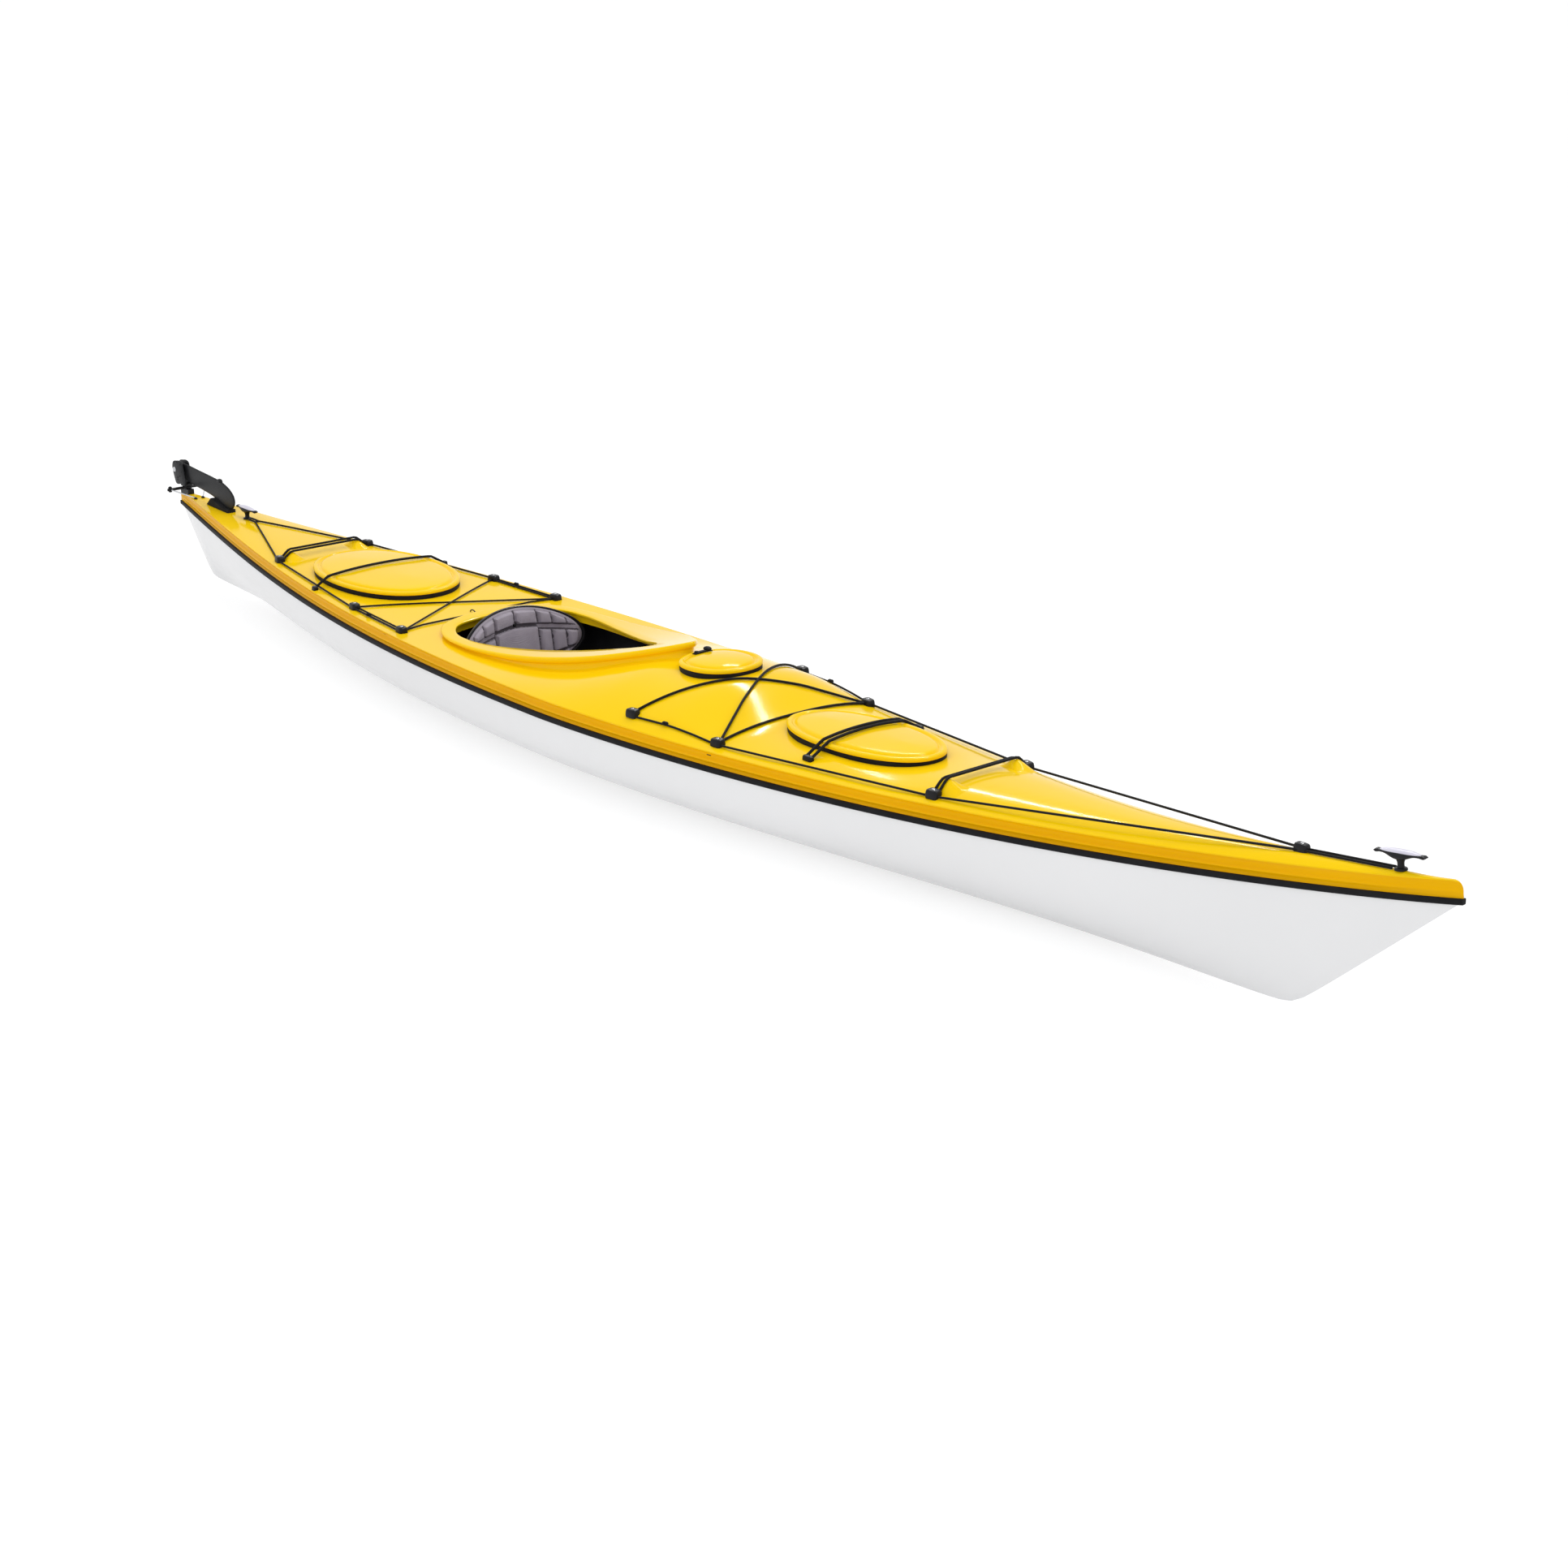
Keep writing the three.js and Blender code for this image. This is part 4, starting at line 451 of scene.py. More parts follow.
def woven(tree, coords, scale, kind):
    """Two crossed sets of bands: square for cloth, slanted along the cord for a braid."""
    if kind == "braid":
        coords = add(tree, "ShaderNodeUVMap").outputs["UV"]
    waves = []
    for direction in ("X", "Y") if kind == "weave" else ("DIAGONAL", "X"):
        wave = add(tree, "ShaderNodeTexWave", Scale=scale, Distortion=0.4, bands_direction=direction)
        link(tree, coords, wave.inputs["Vector"])
        waves.append(wave.outputs["Fac"])
    return both(tree, "MAXIMUM", *waves)


GEL = surface("deck_gel", (0.95, 0.605, 0.002), (0.98, 0.64, 0.003), 0.13, 3, 0.03, 90, shine=0.09)
# The side band is the deck's own yellow made darker: painted shade for faces turned sideways and down.
BAND_SHADE_GEL = surface("band_shade_gel", (0.86, 0.44, 0.0008), (0.91, 0.48, 0.001), 0.2, 3, 0.03, 90, shine=0.05)
HULL_GEL = surface("hull_gel", (0.85, 0.85, 0.855), (0.88, 0.88, 0.885), 0.2, 2, 0.03, 90, shine=0.2)
INNER = surface("inside", (0.012, 0.012, 0.014), (0.03, 0.03, 0.034), 0.7, 14, 0.5, 60, shine=0.15)
RUBBER = surface("rubber", (0.006, 0.006, 0.007), (0.012, 0.012, 0.013), 0.55, 30, 0.15, 400, shine=0.1)
FOAM = surface("foam", (0.012, 0.012, 0.013), (0.025, 0.025, 0.028), 0.9, 40, 0.6, 500, shine=0.15)
PLASTIC = surface(
    "black_plastic", (0.008, 0.008, 0.009), (0.013, 0.013, 0.015), 0.3, 30, 0.15, 700, shine=0.16,
)
BLADE = surface("blade_plastic", (0.01, 0.0105, 0.012), (0.017, 0.0175, 0.02), 0.36, 12, 0.2, 600, shine=0.14)
DOME_MAT = surface("grip_dome", (0.62, 0.6, 0.7), (0.72, 0.7, 0.8), 0.35, 20, 0.1, 500)
CLOTH = surface(
    "pad_cloth", (0.35, 0.31, 0.365), (0.42, 0.375, 0.435), 0.85, 25, 0.5, 380, "weave",
    sheen=0.2, shine=0.15,
)
# Darker cloth for the backrest's sewn channels and the feet of its blocks: painted shade in the creases.
CLOTH_SHADE = surface(
    "channel_shade_cloth", (0.1, 0.088, 0.105), (0.13, 0.115, 0.135), 0.9, 25, 0.4, 380, "weave", shine=0.15,
)
CORD = surface(
    "cord_braid", (0.006, 0.006, 0.007), (0.013, 0.013, 0.015), 0.7, 90, 0.25, 40, "braid",
    sheen=0.04, shine=0.1,
)
STEEL = surface("steel", (0.52, 0.53, 0.55), (0.62, 0.63, 0.65), 0.25, 60, 0.1, 300, metal=1.0)
ALLOY = surface("rail_alloy", (0.38, 0.39, 0.41), (0.48, 0.49, 0.5), 0.38, 50, 0.1, 260, metal=0.9)
SLOT_MATS = {
    "hull_gelcoat": HULL_GEL, "deck_gelcoat": GEL, "edge_rubber": RUBBER, "gasket_rubber": RUBBER,
    "black_foam": FOAM, "black_plastic": PLASTIC, "pad_cloth": CLOTH, "cord_cloth": CORD,
    "rail_metal": ALLOY, "steel": STEEL,
}
SLOT_OF = {HULL_GEL.name: "hull_gelcoat", GEL.name: "deck_gelcoat", STEEL.name: "steel"}
SLOT_OF.update({mat.name: "black_plastic" for mat in (PLASTIC, BLADE, DOME_MAT)})
for part in frame["record"]["subparts"]:
    obj = frame["nodes"][part["node"]]
    mat = SLOT_MATS[part["material_slot"]]
    if obj.material_slots:
        for holder in obj.material_slots:
            holder.material = mat
    else:
        obj.data.materials.append(mat)

# Hull: outside and inside skins, joined at the rim
ends = [1 - 0.008 * k for k in (0, 0.03, 0.08, 0.16, 0.28, 0.45, 0.65, 0.9, 1.2, 1.6, 2.2, 3, 4, 5.5)]
SHARES = sorted([-s for s in ends] + list(np.linspace(-0.95, 0.95, 171)) + ends)


def hull_section(x, inset):
    blend = end_share(x) ** 2
    across, down = (a + (b - a) * blend for a, b in zip(SECTION_MIDDLE, SECTION_END))
    b, top, bottom = half_at(x) - inset, seam_z(x), keel_z(x) + inset
    port = []
    for j in range(HULL_STEPS + 1):
        turn = pi / 2 * (1 - (j / HULL_STEPS) ** 1.6)
        y = b * max(sin(turn), 0) ** (2 / across)
        z = top - (top - bottom) * max(cos(turn), 0) ** (2 / down)
        port.append((x, y, max(z, 0.0)))
    return port + [(x, -y, z) for x, y, z in reversed(port[:-1])]


outer = [hull_section(station(s), 0) for s in SHARES]
inner = [hull_section(station(s) * HOLLOW_END, HULL_WALL) for s in SHARES]
count = len(outer[0])
skins = merged(loft(outer, closed=False), loft(inner, closed=False))
rim = skins[1]
shift = len(outer) * count
for i in range(len(outer) - 1):
    for k in (0, count - 1):
        a, b = i * count + k, (i + 1) * count + k
        rim.append((a, b, b + shift, a + shift))
last = (len(outer) - 1) * count
for start in (0, last):
    rim.append(tuple(range(start, start + count)))
    rim.append(tuple(range(start + shift, start + shift + count)))
    rim.append((start, start + shift, start + shift + count - 1, start + count - 1))


def hull_pick(centre, normal):
    inward = normal.y * centre.y < 0 if abs(normal.y) > 0.02 else normal.z > 0
    return 1 if inward and end_share(centre.x) < HOLLOW_END else 0


make("hull_skin", *skins, [HULL_GEL, INNER], "boat", ["hull_shell"], 30, pick=hull_pick)


# Deck: a closed shell with its side band, cut for the hatches and the cockpit
EDGE_DROP, BORE_CLEAR, HOLLOW_DROP, RIM_CLEAR = 1.2, 1.2, 40, 1.5
SIDE_REACH, TIP_SHARE = 1.4 * COVE + 1, 0.97


def deck_section(x, inset, drop):
    b, seam = half_at(x), seam_z(x)
    fade = b / (b + LEAN_FADE)
    half = edge_half(x) - inset
    rake = BOW_RAKE * smooth(0.93, 1, share_at(x))
    reach = END_ROUND[side_of(x)]
    past = max(abs(x) - abs(station(copysign(1, x))) + reach, 0) / reach
    low_end = 0.5 + 0.5 * sqrt(max(1 - past ** 3, 0))
    band = [
        (b - inset - COVE * fade * eased(COVE_TABLE, up), seam + GAP + (BAND - inset) * up)
        for up in BAND_STEPS
    ]
    if drop:
        band.insert(0, (b - inset, seam - drop))
    crown = []
    for k in range(CROWN_STEPS + 1):
        y = half * cos(pi * k / CROWN_STEPS)
        lower = EDGE_DROP if k in (0, CROWN_STEPS) else 0
        crown.append((y, deck_z(x, y * edge_half(x) / half) - inset - lower))
    outline = band + crown + [(-y, z) for y, z in reversed(band)]
    outline = [(y, z if z < seam else seam + (z - seam) * low_end) for y, z in outline]
    return [(x - rake * min(max((z - seam) / BAND, 0), 1), y, z) for y, z in outline]


outer = [deck_section(station(s), 0, 0) for s in SHARES]
inner = [deck_section(station(s) * HOLLOW_END, DECK_WALL, HOLLOW_DROP) for s in SHARES]
deck = make("deck_skin", *loft(outer), [GEL, BAND_SHADE_GEL, INNER])
hollow = make("deck_hollow", *loft(inner), INNER)


def coaming_line(shares, back, front, half):
    x0, x1 = station(back), station(front)
    port = [(x0 + (x1 - x0) * a, half * b) for a, b in shares]
    starboard = [(x, -y) for x, y in reversed(port[1:])]
    return closed_curve(port + [(x0, 0.0)] + starboard, LIP_STEPS)


lip_outer = coaming_line(LIP_OUTER, LIP_BACK, LIP_TIP, LIP_HALF)
lip_inner = coaming_line(LIP_INNER, OPEN_BACK, OPEN_FRONT, OPENING_HALF)


def lip_z(x):
    back, tip = station(LIP_BACK), station(LIP_TIP)
    t = (x - back) / (tip - back)
    return LIP_BACK_HEIGHT + (LIP_TIP_HEIGHT - LIP_BACK_HEIGHT) * t - 4 * LIP_DIP * t * (1 - t)


def wall_point(i, distance):
    away = lip_inner[i] - lip_outer[i]
    return lip_outer[i] + away / np.linalg.norm(away) * distance


hole = [wall_point(i, LIP_OVERHANG + COAMING_WALL / 2) for i in range(LIP_STEPS)]
tools = [hollow, make("cockpit_hole", *loft([[(x, y, z) for x, y in hole] for z in (SEAM, 400.0)]), INNER)]
for name, hatch in HATCHES.items():
    bore = [hatch_ring(hatch, COLLAR_INSET + COLLAR_WALL - BORE_CLEAR, level) for level in (-80, 60)]
    tools.append(make("bore_" + name, *loft(bore), INNER))
cut(deck, tools)


def deck_pick(centre, normal):
    x = min(max(centre.x, -STERN_LENGTH), HALF_LENGTH)
    below = centre.z < edge_z(x) - RIM_CLEAR
    at_side = normal.y * centre.y > 0 and abs(centre.y) > half_at(x) - SIDE_REACH
    # Side faces below the deck edge take the second, darker yellow, a painted shade.
    if (at_side or end_share(x) > TIP_SHARE) and normal.z > -0.9:
        return 1 if below else 0
    inside = normal.z < 0.2 and deck_z(x, centre.y) - centre.z > DECK_WALL * 0.5
    return 2 if inside else 0


finish_mesh(deck, 32, deck_pick)
place(deck, "boat", ["deck_shell"], "deck_gelcoat")

for cx, cy in RESTS:
    name = "paddle_rest_%s_%s" % ("bow" if cx > 0 else "stern", "left" if cy > 0 else "right")
    rows = []
    for along in np.linspace(-1, 1, 33):
        x = cx + along * (REST_FRONT if along > 0 else REST_BACK)
        foot = [(x, cy + end, deck_z(x, cy + end) - 4) for end in (-REST_HALF, REST_HALF)]
        row = foot[:1]
        for across in np.linspace(-1, 1, 25):
            y = cy + across * REST_HALF
            row.append((x, y, deck_z(x, y) + rest_lift(along, across) - 0.2))
        rows.append(row + foot[1:])
    make(name, *loft(rows), GEL, "boat", angle=50)

for name, hatch in HATCHES.items():
    rows = [
        (1.5, -COLLAR_DEPTH), (0, -COLLAR_DEPTH + 1.5), (0, -7.5), (1, -5.6), (3, -5.6), (COLLAR_WALL, -7.5),
        (COLLAR_WALL, -COLLAR_DEPTH),
    ]
    rings = [hatch_ring(hatch, COLLAR_INSET + i, z) for i, z in rows]
    make(name + "_hatch_collar", *loft(rings, loop=True), GEL, "boat")
    rows = [(1.8, -COLLAR_DEPTH), (1.5, -SKIRT), (2.4, -9.2), (10, -9.2), (11.2, -10.4)]
    rows.append((11.2, -COLLAR_DEPTH))
    rings = [hatch_ring(hatch, i, level) for i, level in rows]
    rings = [[(x, y, max(z, deck_z(x, y) + 0.3)) for x, y, z in ring] for ring in rings]
    seal = loft(rings, loop=True)
    make(name + "_hatch_seal", *seal, RUBBER, "boat", [name + "_hatch_gasket"], slot="gasket_rubber")
    h = hatch["half"][1]
    rows = [
        (8, -4.5), (8, -7.6), (7, -8.4), (1.5, -8.4), (0.3, -7.4), (0, -5.4), (0, -3), (0.8, -1),
        (2.6, 0.5), (5, 1.3), (8, 1.6), (10.5, 1.3), (12.5, 0.3), (14.2, -1.5), (15.6, -2.4), (17.4, -2.6),
        (19, -2), (20.6, -0.4), (22.6, 1.6), (25.4, 3), (30, 3.8), (h * 0.4, 5.2), (h * 0.5, DOME * 0.7),
        (h * 0.66, DOME * 0.84), (h * 0.82, DOME * 0.95), (h * 0.94, DOME * 0.99),
    ]
    lid = loft([hatch_ring(hatch, i, z) for i, z in rows])
    make(name + "_hatch_lid", *lid, GEL, name + "_lid", [name + "_hatch_cover"])

# Coaming: a flared lip on a wall that sweeps out into the deck
rings = []
for i in range(LIP_STEPS):
    width = np.linalg.norm(lip_inner[i] - lip_outer[i])

    def at(distance, drop=None, deck_level=None):
        x, y = wall_point(i, distance)
        z = lip_z(x) + drop if deck_level is None else deck_z(x, y) + deck_level
        return (x, y, z)

    wx, wy = wall_point(i, LIP_OVERHANG)
    rise = lip_z(wx) - deck_z(wx, wy)
    bead = min(15.0, 0.6 * rise)
    foot = rise - bead
    ring = [
        at(width, -3.5), at(width - 0.6, -1.2), at(width - 2.4, -0.2), at(width * 0.72, 0.1),
        at(LIP_OVERHANG, 0), at(12, -0.2),
    ]
    ring += [
        at(7 - 7 * cos(turn), -bead / 2 * (1 - sin(turn)))
        for turn in np.radians((80, 62, 44, 25, 6, -14, -34, -54, -72, -86))
    ]
    ring += [at(9.5, -bead - 1.2), at(11, -bead - 3)]
    ring += [
        at(11 - 17 * (1 - cos(turn)), deck_level=(foot - 3) * (1 - sin(turn)) + 0.2)
        for turn in np.radians((20, 38, 55, 70, 82))
    ]
    ring += [
        at(-7, deck_level=0.1), at(-6, deck_level=-2.5), at(LIP_OVERHANG, deck_level=-13),
        at(LIP_OVERHANG + COAMING_WALL, deck_level=-13), at(LIP_OVERHANG + COAMING_WALL, -9),
        at(width - 2.4, -7), at(width - 0.6, -5.8),
    ]
    rings.append(ring)
make("coaming_skin", *loft(rings, loop=True), GEL, "boat", ["cockpit_coaming"], 40)

# Rubber strip over the seam
rows = [(-0.3, -5.8), (2.4, -5.8), (3.3, -5), (3.5, -3), (3.5, 3), (3.3, 5), (2.4, 5.8), (-0.3, 5.8)]
port = []
for k, s in enumerate(SHARES):
    x = station(s)
    before, after = station(SHARES[max(k - 1, 0)]), station(SHARES[min(k + 1, len(SHARES) - 1)])
    out = np.array((half_at(before) - half_at(after), after - before))
    out /= np.linalg.norm(out)
    if end_share(x) == 1:
        out = np.array((0.3 * copysign(1, s), 1.0))
    b = half_at(x)
    cove = COVE * eased(COVE_TABLE, 5 / BAND) * b / (b + LEAN_FADE)
    port.append([
        (x + out[0] * far, b + out[1] * far - (cove * 0.7 if up > 0 and far < 0 else 0), seam_z(x) + up)
        for far, up in rows
    ])
starboard = [[(x, -y, z) for x, y, z in ring] for ring in reversed(port)]
strip = loft(port + starboard, loop=True)
make("seam_strip_skin", *strip, RUBBER, "boat", ["seam_strip"], 50, "edge_rubber")


# Rigging: each cord is pulled tight over the boat along its plan runs
def fitting_place(key, side, shift=0.0):
    x = station(FITTING_SHARES[key])
    return (x, side * (half_at(x) - FITTING_INSETS[key] + shift))


def anchor(key, side):
    return fitting_place(key, side, -FITTING_SPLIT)


def eye(key, side):
    return fitting_place(key, side, FITTING_SPLIT)


def taut(start, end, radius, height):
    (x0, y0), (x1, y1) = start, end
    length = hypot(x1 - x0, y1 - y0)
    steps = max(int(length / 6), 2)
    hull = []
    for k in range(steps + 1):
        x, y = x0 + (x1 - x0) * k / steps, y0 + (y1 - y0) * k / steps
        spot = (length * k / steps, (x, y, height(x, y) + radius + 1.2))
        while len(hull) > 1:
            (da, a), (db, b) = hull[-2], hull[-1]
            if (b[2] - a[2]) * (spot[0] - da) > (spot[1][2] - a[2]) * (db - da):
                break
            hull.pop()
        hull.append(spot)
    run = [d for d, _ in hull]
    pts = np.array([p for _, p in hull])
    at = np.linspace(0, length, max(int(length / 8), 3))
    return np.stack([np.interp(at, run, pts[:, c]) for c in range(3)], 1)


def cord_piece(name, runs, radius, body, node, extra=(), height=top_z):
    parts = [tube(taut(start, end, radius, height), radius) for start, end in runs]
    obj = make(name, *merged(*parts, *extra), CORD, angle=60)
    uv = obj.data.uv_layers.new(name="UVMap")
    across = radius * MM * 2 * pi
    for poly in obj.data.polygons:
        for loop in poly.loop_indices:
            co = obj.data.vertices[obj.data.loops[loop].vertex_index].co
            uv.data[loop].uv = ((co.x + co.y) / across, (co.z - co.y) / across)
    place(obj, body, [node], "cord_cloth")


def chain(*stops):
    return list(zip(stops, stops[1:]))


NOSE = station(0.851)
HANDLES = {"bow": station(0.9436), "stern": station(-0.8232)}
JUNCTION = station(-0.7986)
FOOT_REACH = 12 + LINE + 0.7
SPREAD = 6.0
BEND, BEND_HALF = station(FITTING_SHARES["i"]) - 13, 165
stern_runs = [(anchor("h", 1), anchor("i", -1)), (anchor("h", -1), anchor("i", 1))]
stern_runs += chain(anchor("i", -1), (BEND, -BEND_HALF), (BEND, BEND_HALF), anchor("i", 1))
stern_runs += [(anchor("h", 1), anchor("i", 1)), (anchor("h", -1), anchor("i", -1))]
RUNS = {
    "bow_deck_bungee": (chain(anchor("a", 1), anchor("b", -1), anchor("b", 1), anchor("a", -1)), BUNGEE),
    "stern_deck_bungee": (stern_runs, BUNGEE * 0.75),
}
for key, name in (("d", "bow_paddle_bungee"), ("f", "stern_paddle_bungee")):
    ends = [anchor(key, 1), anchor(key, -1)]
    runs = [tuple((x + by, y) for x, y in ends) for by in (-7, 7)]
    runs += [((x - 7, y), (x + 7, y)) for x, y in ends]
    RUNS[name] = (runs, BUNGEE)
bow_line, stern_line = [], []
for _, side in SIDES:
    y = side * SPREAD
    bow_line += chain(*(eye(key, side) for key in "abd"), (NOSE, y), (HANDLES["bow"] - FOOT_REACH, y))
    stern_line += chain(*(eye(key, side) for key in "ihf"), (JUNCTION, y), (HANDLES["stern"] + FOOT_REACH, y))
RUNS["bow_deck_line"] = (bow_line + [((NOSE, SPREAD), (NOSE, -SPREAD))], LINE)
RUNS["stern_deck_line"] = (stern_line + [((JUNCTION, SPREAD), (JUNCTION, -SPREAD))], LINE)


def knot(run, share):
    (x0, y0), (x1, y1) = run
    x = station(share)
    y = y0 + (y1 - y0) * (x - x0) / (x1 - x0)
    z = top_z(x, y) + 6
    return [
        ellipsoid((x + by, y + across, z + up), (5.5, 5, 4.5), 8, 12)
        for by, across, up in ((-3, 0, 0), (3, 1.5, 0.5), (0, -1.5, 1.5))
    ]


KNOTS = {
    "bow_deck_line": [k for run in (bow_line[0], bow_line[4]) for k in knot(run, 0.179)],
    "stern_deck_line": [k for run in (stern_line[0], stern_line[4]) for k in knot(run, -0.3691)],
}
for name, (runs, radius) in RUNS.items():
    cord_piece(name + "_cord", runs, radius, "boat", name, KNOTS.get(name, ()))


def over_lines(x, y):
    """The height of what a cord lies on, with the deck lines included."""
    for (x0, y0), (x1, y1) in bow_line + stern_line:
        t = ((x - x0) * (x1 - x0) + (y - y0) * (y1 - y0)) / ((x1 - x0) ** 2 + (y1 - y0) ** 2)
        t = min(max(t, 0), 1)
        if hypot(x0 + (x1 - x0) * t - x, y0 + (y1 - y0) * t - y) < 2 * LINE:
            return max(top_z(x, y), deck_z(x, y) + 2 * LINE + 1.8)
    return top_z(x, y)


def block(x, y, length, width, height, turn=0.0):
    """A rounded block standing on the deck."""
    base = deck_z(x, y)
    c, s = cos(turn), sin(turn)
    profile = [(0.96, -height / 4), (1, 0.6)]
    for scale, up in ((0.97, 0.5), (0.92, 0.76), (0.85, 0.92), (0.76, 0.99), (0.5, 1)):
        profile.append((scale, height * up))
    rings = []
    for scale, up in profile:
        ring = []
        for k in range(BLOCK_SIDES):
            angle = 2 * pi * (k + 0.5) / BLOCK_SIDES
            dx = length / 2 * scale * signed(cos(angle), 0.45)
            dy = width / 2 * scale * signed(sin(angle), 0.45)
            ring.append((x + dx * c - dy * s, y + dx * s + dy * c, base + up))
        rings.append(ring)
    return loft(rings)


def screw(x, y, height):
    """A dished screw head on a block of that height."""
    r = SCREW_RADIUS
    profile = [(r, -1), (r, 0.6), (r * 0.8, 1.2), (r * 0.45, 1.3), (r * 0.4, 0.3)]
    return lathe(profile, (x, y, deck_z(x, y) + height), 18)


for key in FITTING_SHARES:
    for name, side in SIDES:
        x, y = fitting_place(key, side)
        turn = side * atan2(half_at(x + 32) - half_at(x - 32), 64)
        node = "deck_fitting_%s_%s" % (key, name)
        make(node + "_body", *block(x, y, *FITTING, turn), PLASTIC, "boat", [node], 45)
        make(node + "_screw", *screw(x, y, FITTING[2]), STEEL, "boat")
make("nose_fitting_body", *block(NOSE, 0, *NOSE_FITTING), PLASTIC, "boat", ["deck_fitting_nose"], 45)
make("nose_fitting_screw", *screw(NOSE, 0, NOSE_FITTING[2]), STEEL, "boat")

HOOKS = {"bow": (0.345, 62.0, 9.0, 30.0), "stern": (-0.5048, 17.0, 0.0, 18.0)}
for name, (share, inset, spread, length) in HOOKS.items():
    x = station(share)
    y = half_at(x) - inset
    runs = [((x + by, y), (x + by, -y)) for by in sorted({-spread, spread})]
    lid, node = name + "_lid", name + "_hatch_cord"
    cord_piece(node + "_braid", runs, HATCH_CORD, lid, node, height=over_lines)
    for label, side in SIDES:
        make("%s_hatch_hook_%s" % (name, label), *block(x, side * y, length, 13, 10), PLASTIC, lid, angle=45)

# Carrying handles: a black bar with knobs at its ends, under a pale dome
HANDLE_SEATS = {"bow": (2226.896, 351.147, 0.121858), "stern": (-1895.006, 254.626, -0.02015)}
HANDLE_HALF, HANDLE_LOW, LOOP_X = 54.0, 19.0, -712.0


def leaning(points, seat):
    """Points of a handle's own frame, set on the deck at its slope."""
    x0, level, slope = seat
    c, s = 1 / hypot(1, slope), slope / hypot(1, slope)
    return [(x0 + u * c - w * s, v, level + u * s + w * c) for u, v, w in points]


def oval_ring(u, half, low, high, steps=20, power=0.75):
    middle, rise = (low + high) / 2, (high - low) / 2
    return [(u, half * signed(cos(t), power), middle + rise * signed(sin(t), power)) for t in turns(steps)]


for name, seat in HANDLE_SEATS.items():
    bar = []
    for along in np.linspace(-1, 1, 33):
        far = abs(along)
        half = 12.5 * (1 - 0.42 * smooth(0.1, 0.8, far)) * (1 - 0.1 * smooth(0.9, 1, far))
        low = HANDLE_LOW + 8.5 * smooth(0.04, 0.66, far) - 1.5 * smooth(0.78, 0.92, far)
        high = 34 - 1.5 * far + 0.8 * smooth(0.8, 0.92, far) - 2.5 * smooth(0.94, 1, far)
        bar.append(oval_ring(HANDLE_HALF * along, half, low + 2.5 * smooth(0.94, 1, far), high))
    stem = [(12, 0), (12, 2.6), (10.5, 4.2), (7, 5.2), (6.2, 9), (6.4, 14), (8.5, 20), (10, 24)]
    verts, faces = merged(loft(bar), lathe(stem, (0, 0, 0), 28))
    make(name + "_handle_bar", leaning(verts, seat), faces, PLASTIC, name + "_grip", [name + "_handle"], 50)
    dome = []
    for level in np.linspace(0, 1, 9):
        across = cos(level * pi / 2 * 0.97)
        top = 31.5 + 6.6 * sin(level * pi / 2)
        dome.append([
            (HANDLE_HALF * 0.83 * across * signed(cos(a), 0.85), 9.2 * across * signed(sin(a), 0.85), top)
            for a in turns(48)
        ])
    verts, faces = loft(dome)
    make(name + "_handle_dome", leaning(verts, seat), faces, DOME_MAT, name + "_grip", angle=50)

# Day hatch strap with its knob, and a small line loop behind the cockpit
day = HATCHES["day"]
strap_x = station(day["share"]) - day["half"][0] + 30
rows = []
for along in np.linspace(-24, 24, 17):
    ring = oval_ring(0, 8, -1.5, 1.2 if abs(along) > 19 else 3.4, 16, 0.5)
    rows.append([(strap_x + v, along, cover_top(day, strap_x + v * 0.99, along) + w) for _, v, w in ring])
strap_top = cover_top(day, strap_x, 15)
knob = ellipsoid((strap_x, 15, strap_top + 5), (11.4, 9, 5.2), 12, 24)
stud = lathe([(5, 0), (5, 5), (4, 6)], (strap_x, -17, strap_top - 1), 20)
strap = merged(loft(rows), knob, stud)
make("day_strap_and_knob", *strap, RUBBER, "day_lid", ["day_hatch_strap"], 50, "black_plastic")
arch = [(LOOP_X + 12 * cos(a), 0, deck_z(LOOP_X, 0) - 1 + 8 * sin(a)) for a in np.linspace(0, pi, 15)]
make("line_loop", *tube(arch, 1.6), PLASTIC, "boat", angle=60)


# Cloth: the fabric between the sewn lines is blown up against its own weave
CLOTH_PRESSURE, CLOTH_FRAMES = 4.0, 20


def puff(obj, sewn, cap):
    group = obj.vertex_groups.new(name="sewn")
    group.add(sewn, 1.0, "REPLACE")
    mod = obj.modifiers.new("cloth", "CLOTH")
    mod.settings.use_pressure = True
    mod.settings.uniform_pressure_force = CLOTH_PRESSURE
    mod.settings.vertex_group_mass = "sewn"
    mod.settings.effector_weights.gravity = 0
    mod.settings.quality = 4
    mod.collision_settings.use_collision = False
    mod.collision_settings.use_self_collision = False
    mod.point_cache.frame_start, mod.point_cache.frame_end = 1, CLOTH_FRAMES
    for number in range(1, CLOTH_FRAMES + 1):
        scene.frame_set(number)
    count = len(obj.data.vertices)
    before, after = np.empty(3 * count), np.empty(3 * count)
    obj.data.vertices.foreach_get("co", before)
    blown = obj.evaluated_get(bpy.context.evaluated_depsgraph_get()).to_mesh()
    blown.vertices.foreach_get("co", after)
    before, after = before.reshape(-1, 3), after.reshape(-1, 3)
    moved = after - before
    length = np.linalg.norm(moved, axis=1)
    moved *= (np.minimum(length, cap * MM) / np.maximum(length, 1e-9))[:, None]
    obj.modifiers.clear()
    obj.vertex_groups.clear()
    obj.data.vertices.foreach_set("co", (before + moved).ravel())
    obj.data.update()
    scene.frame_set(1)


# Seat pan on its rails, with the ears that carry the backrest
SEAT_BACK, SEAT_LENGTH, SEAT_HALF, SEAT_WALL = -523.935, 365.0, 192.0, 5.0
RAIL_TOP, SEAT_FLAT, SEAT_SIDE, SEAT_FRONT = 30.0, 133.88, 50.0, 14.0
HINGE = (SEAT_BACK + 11.2, 0.0, 84.0)
PAN_ROWS, PAN_COLUMNS, EAR_HALF = 41, 48, 92


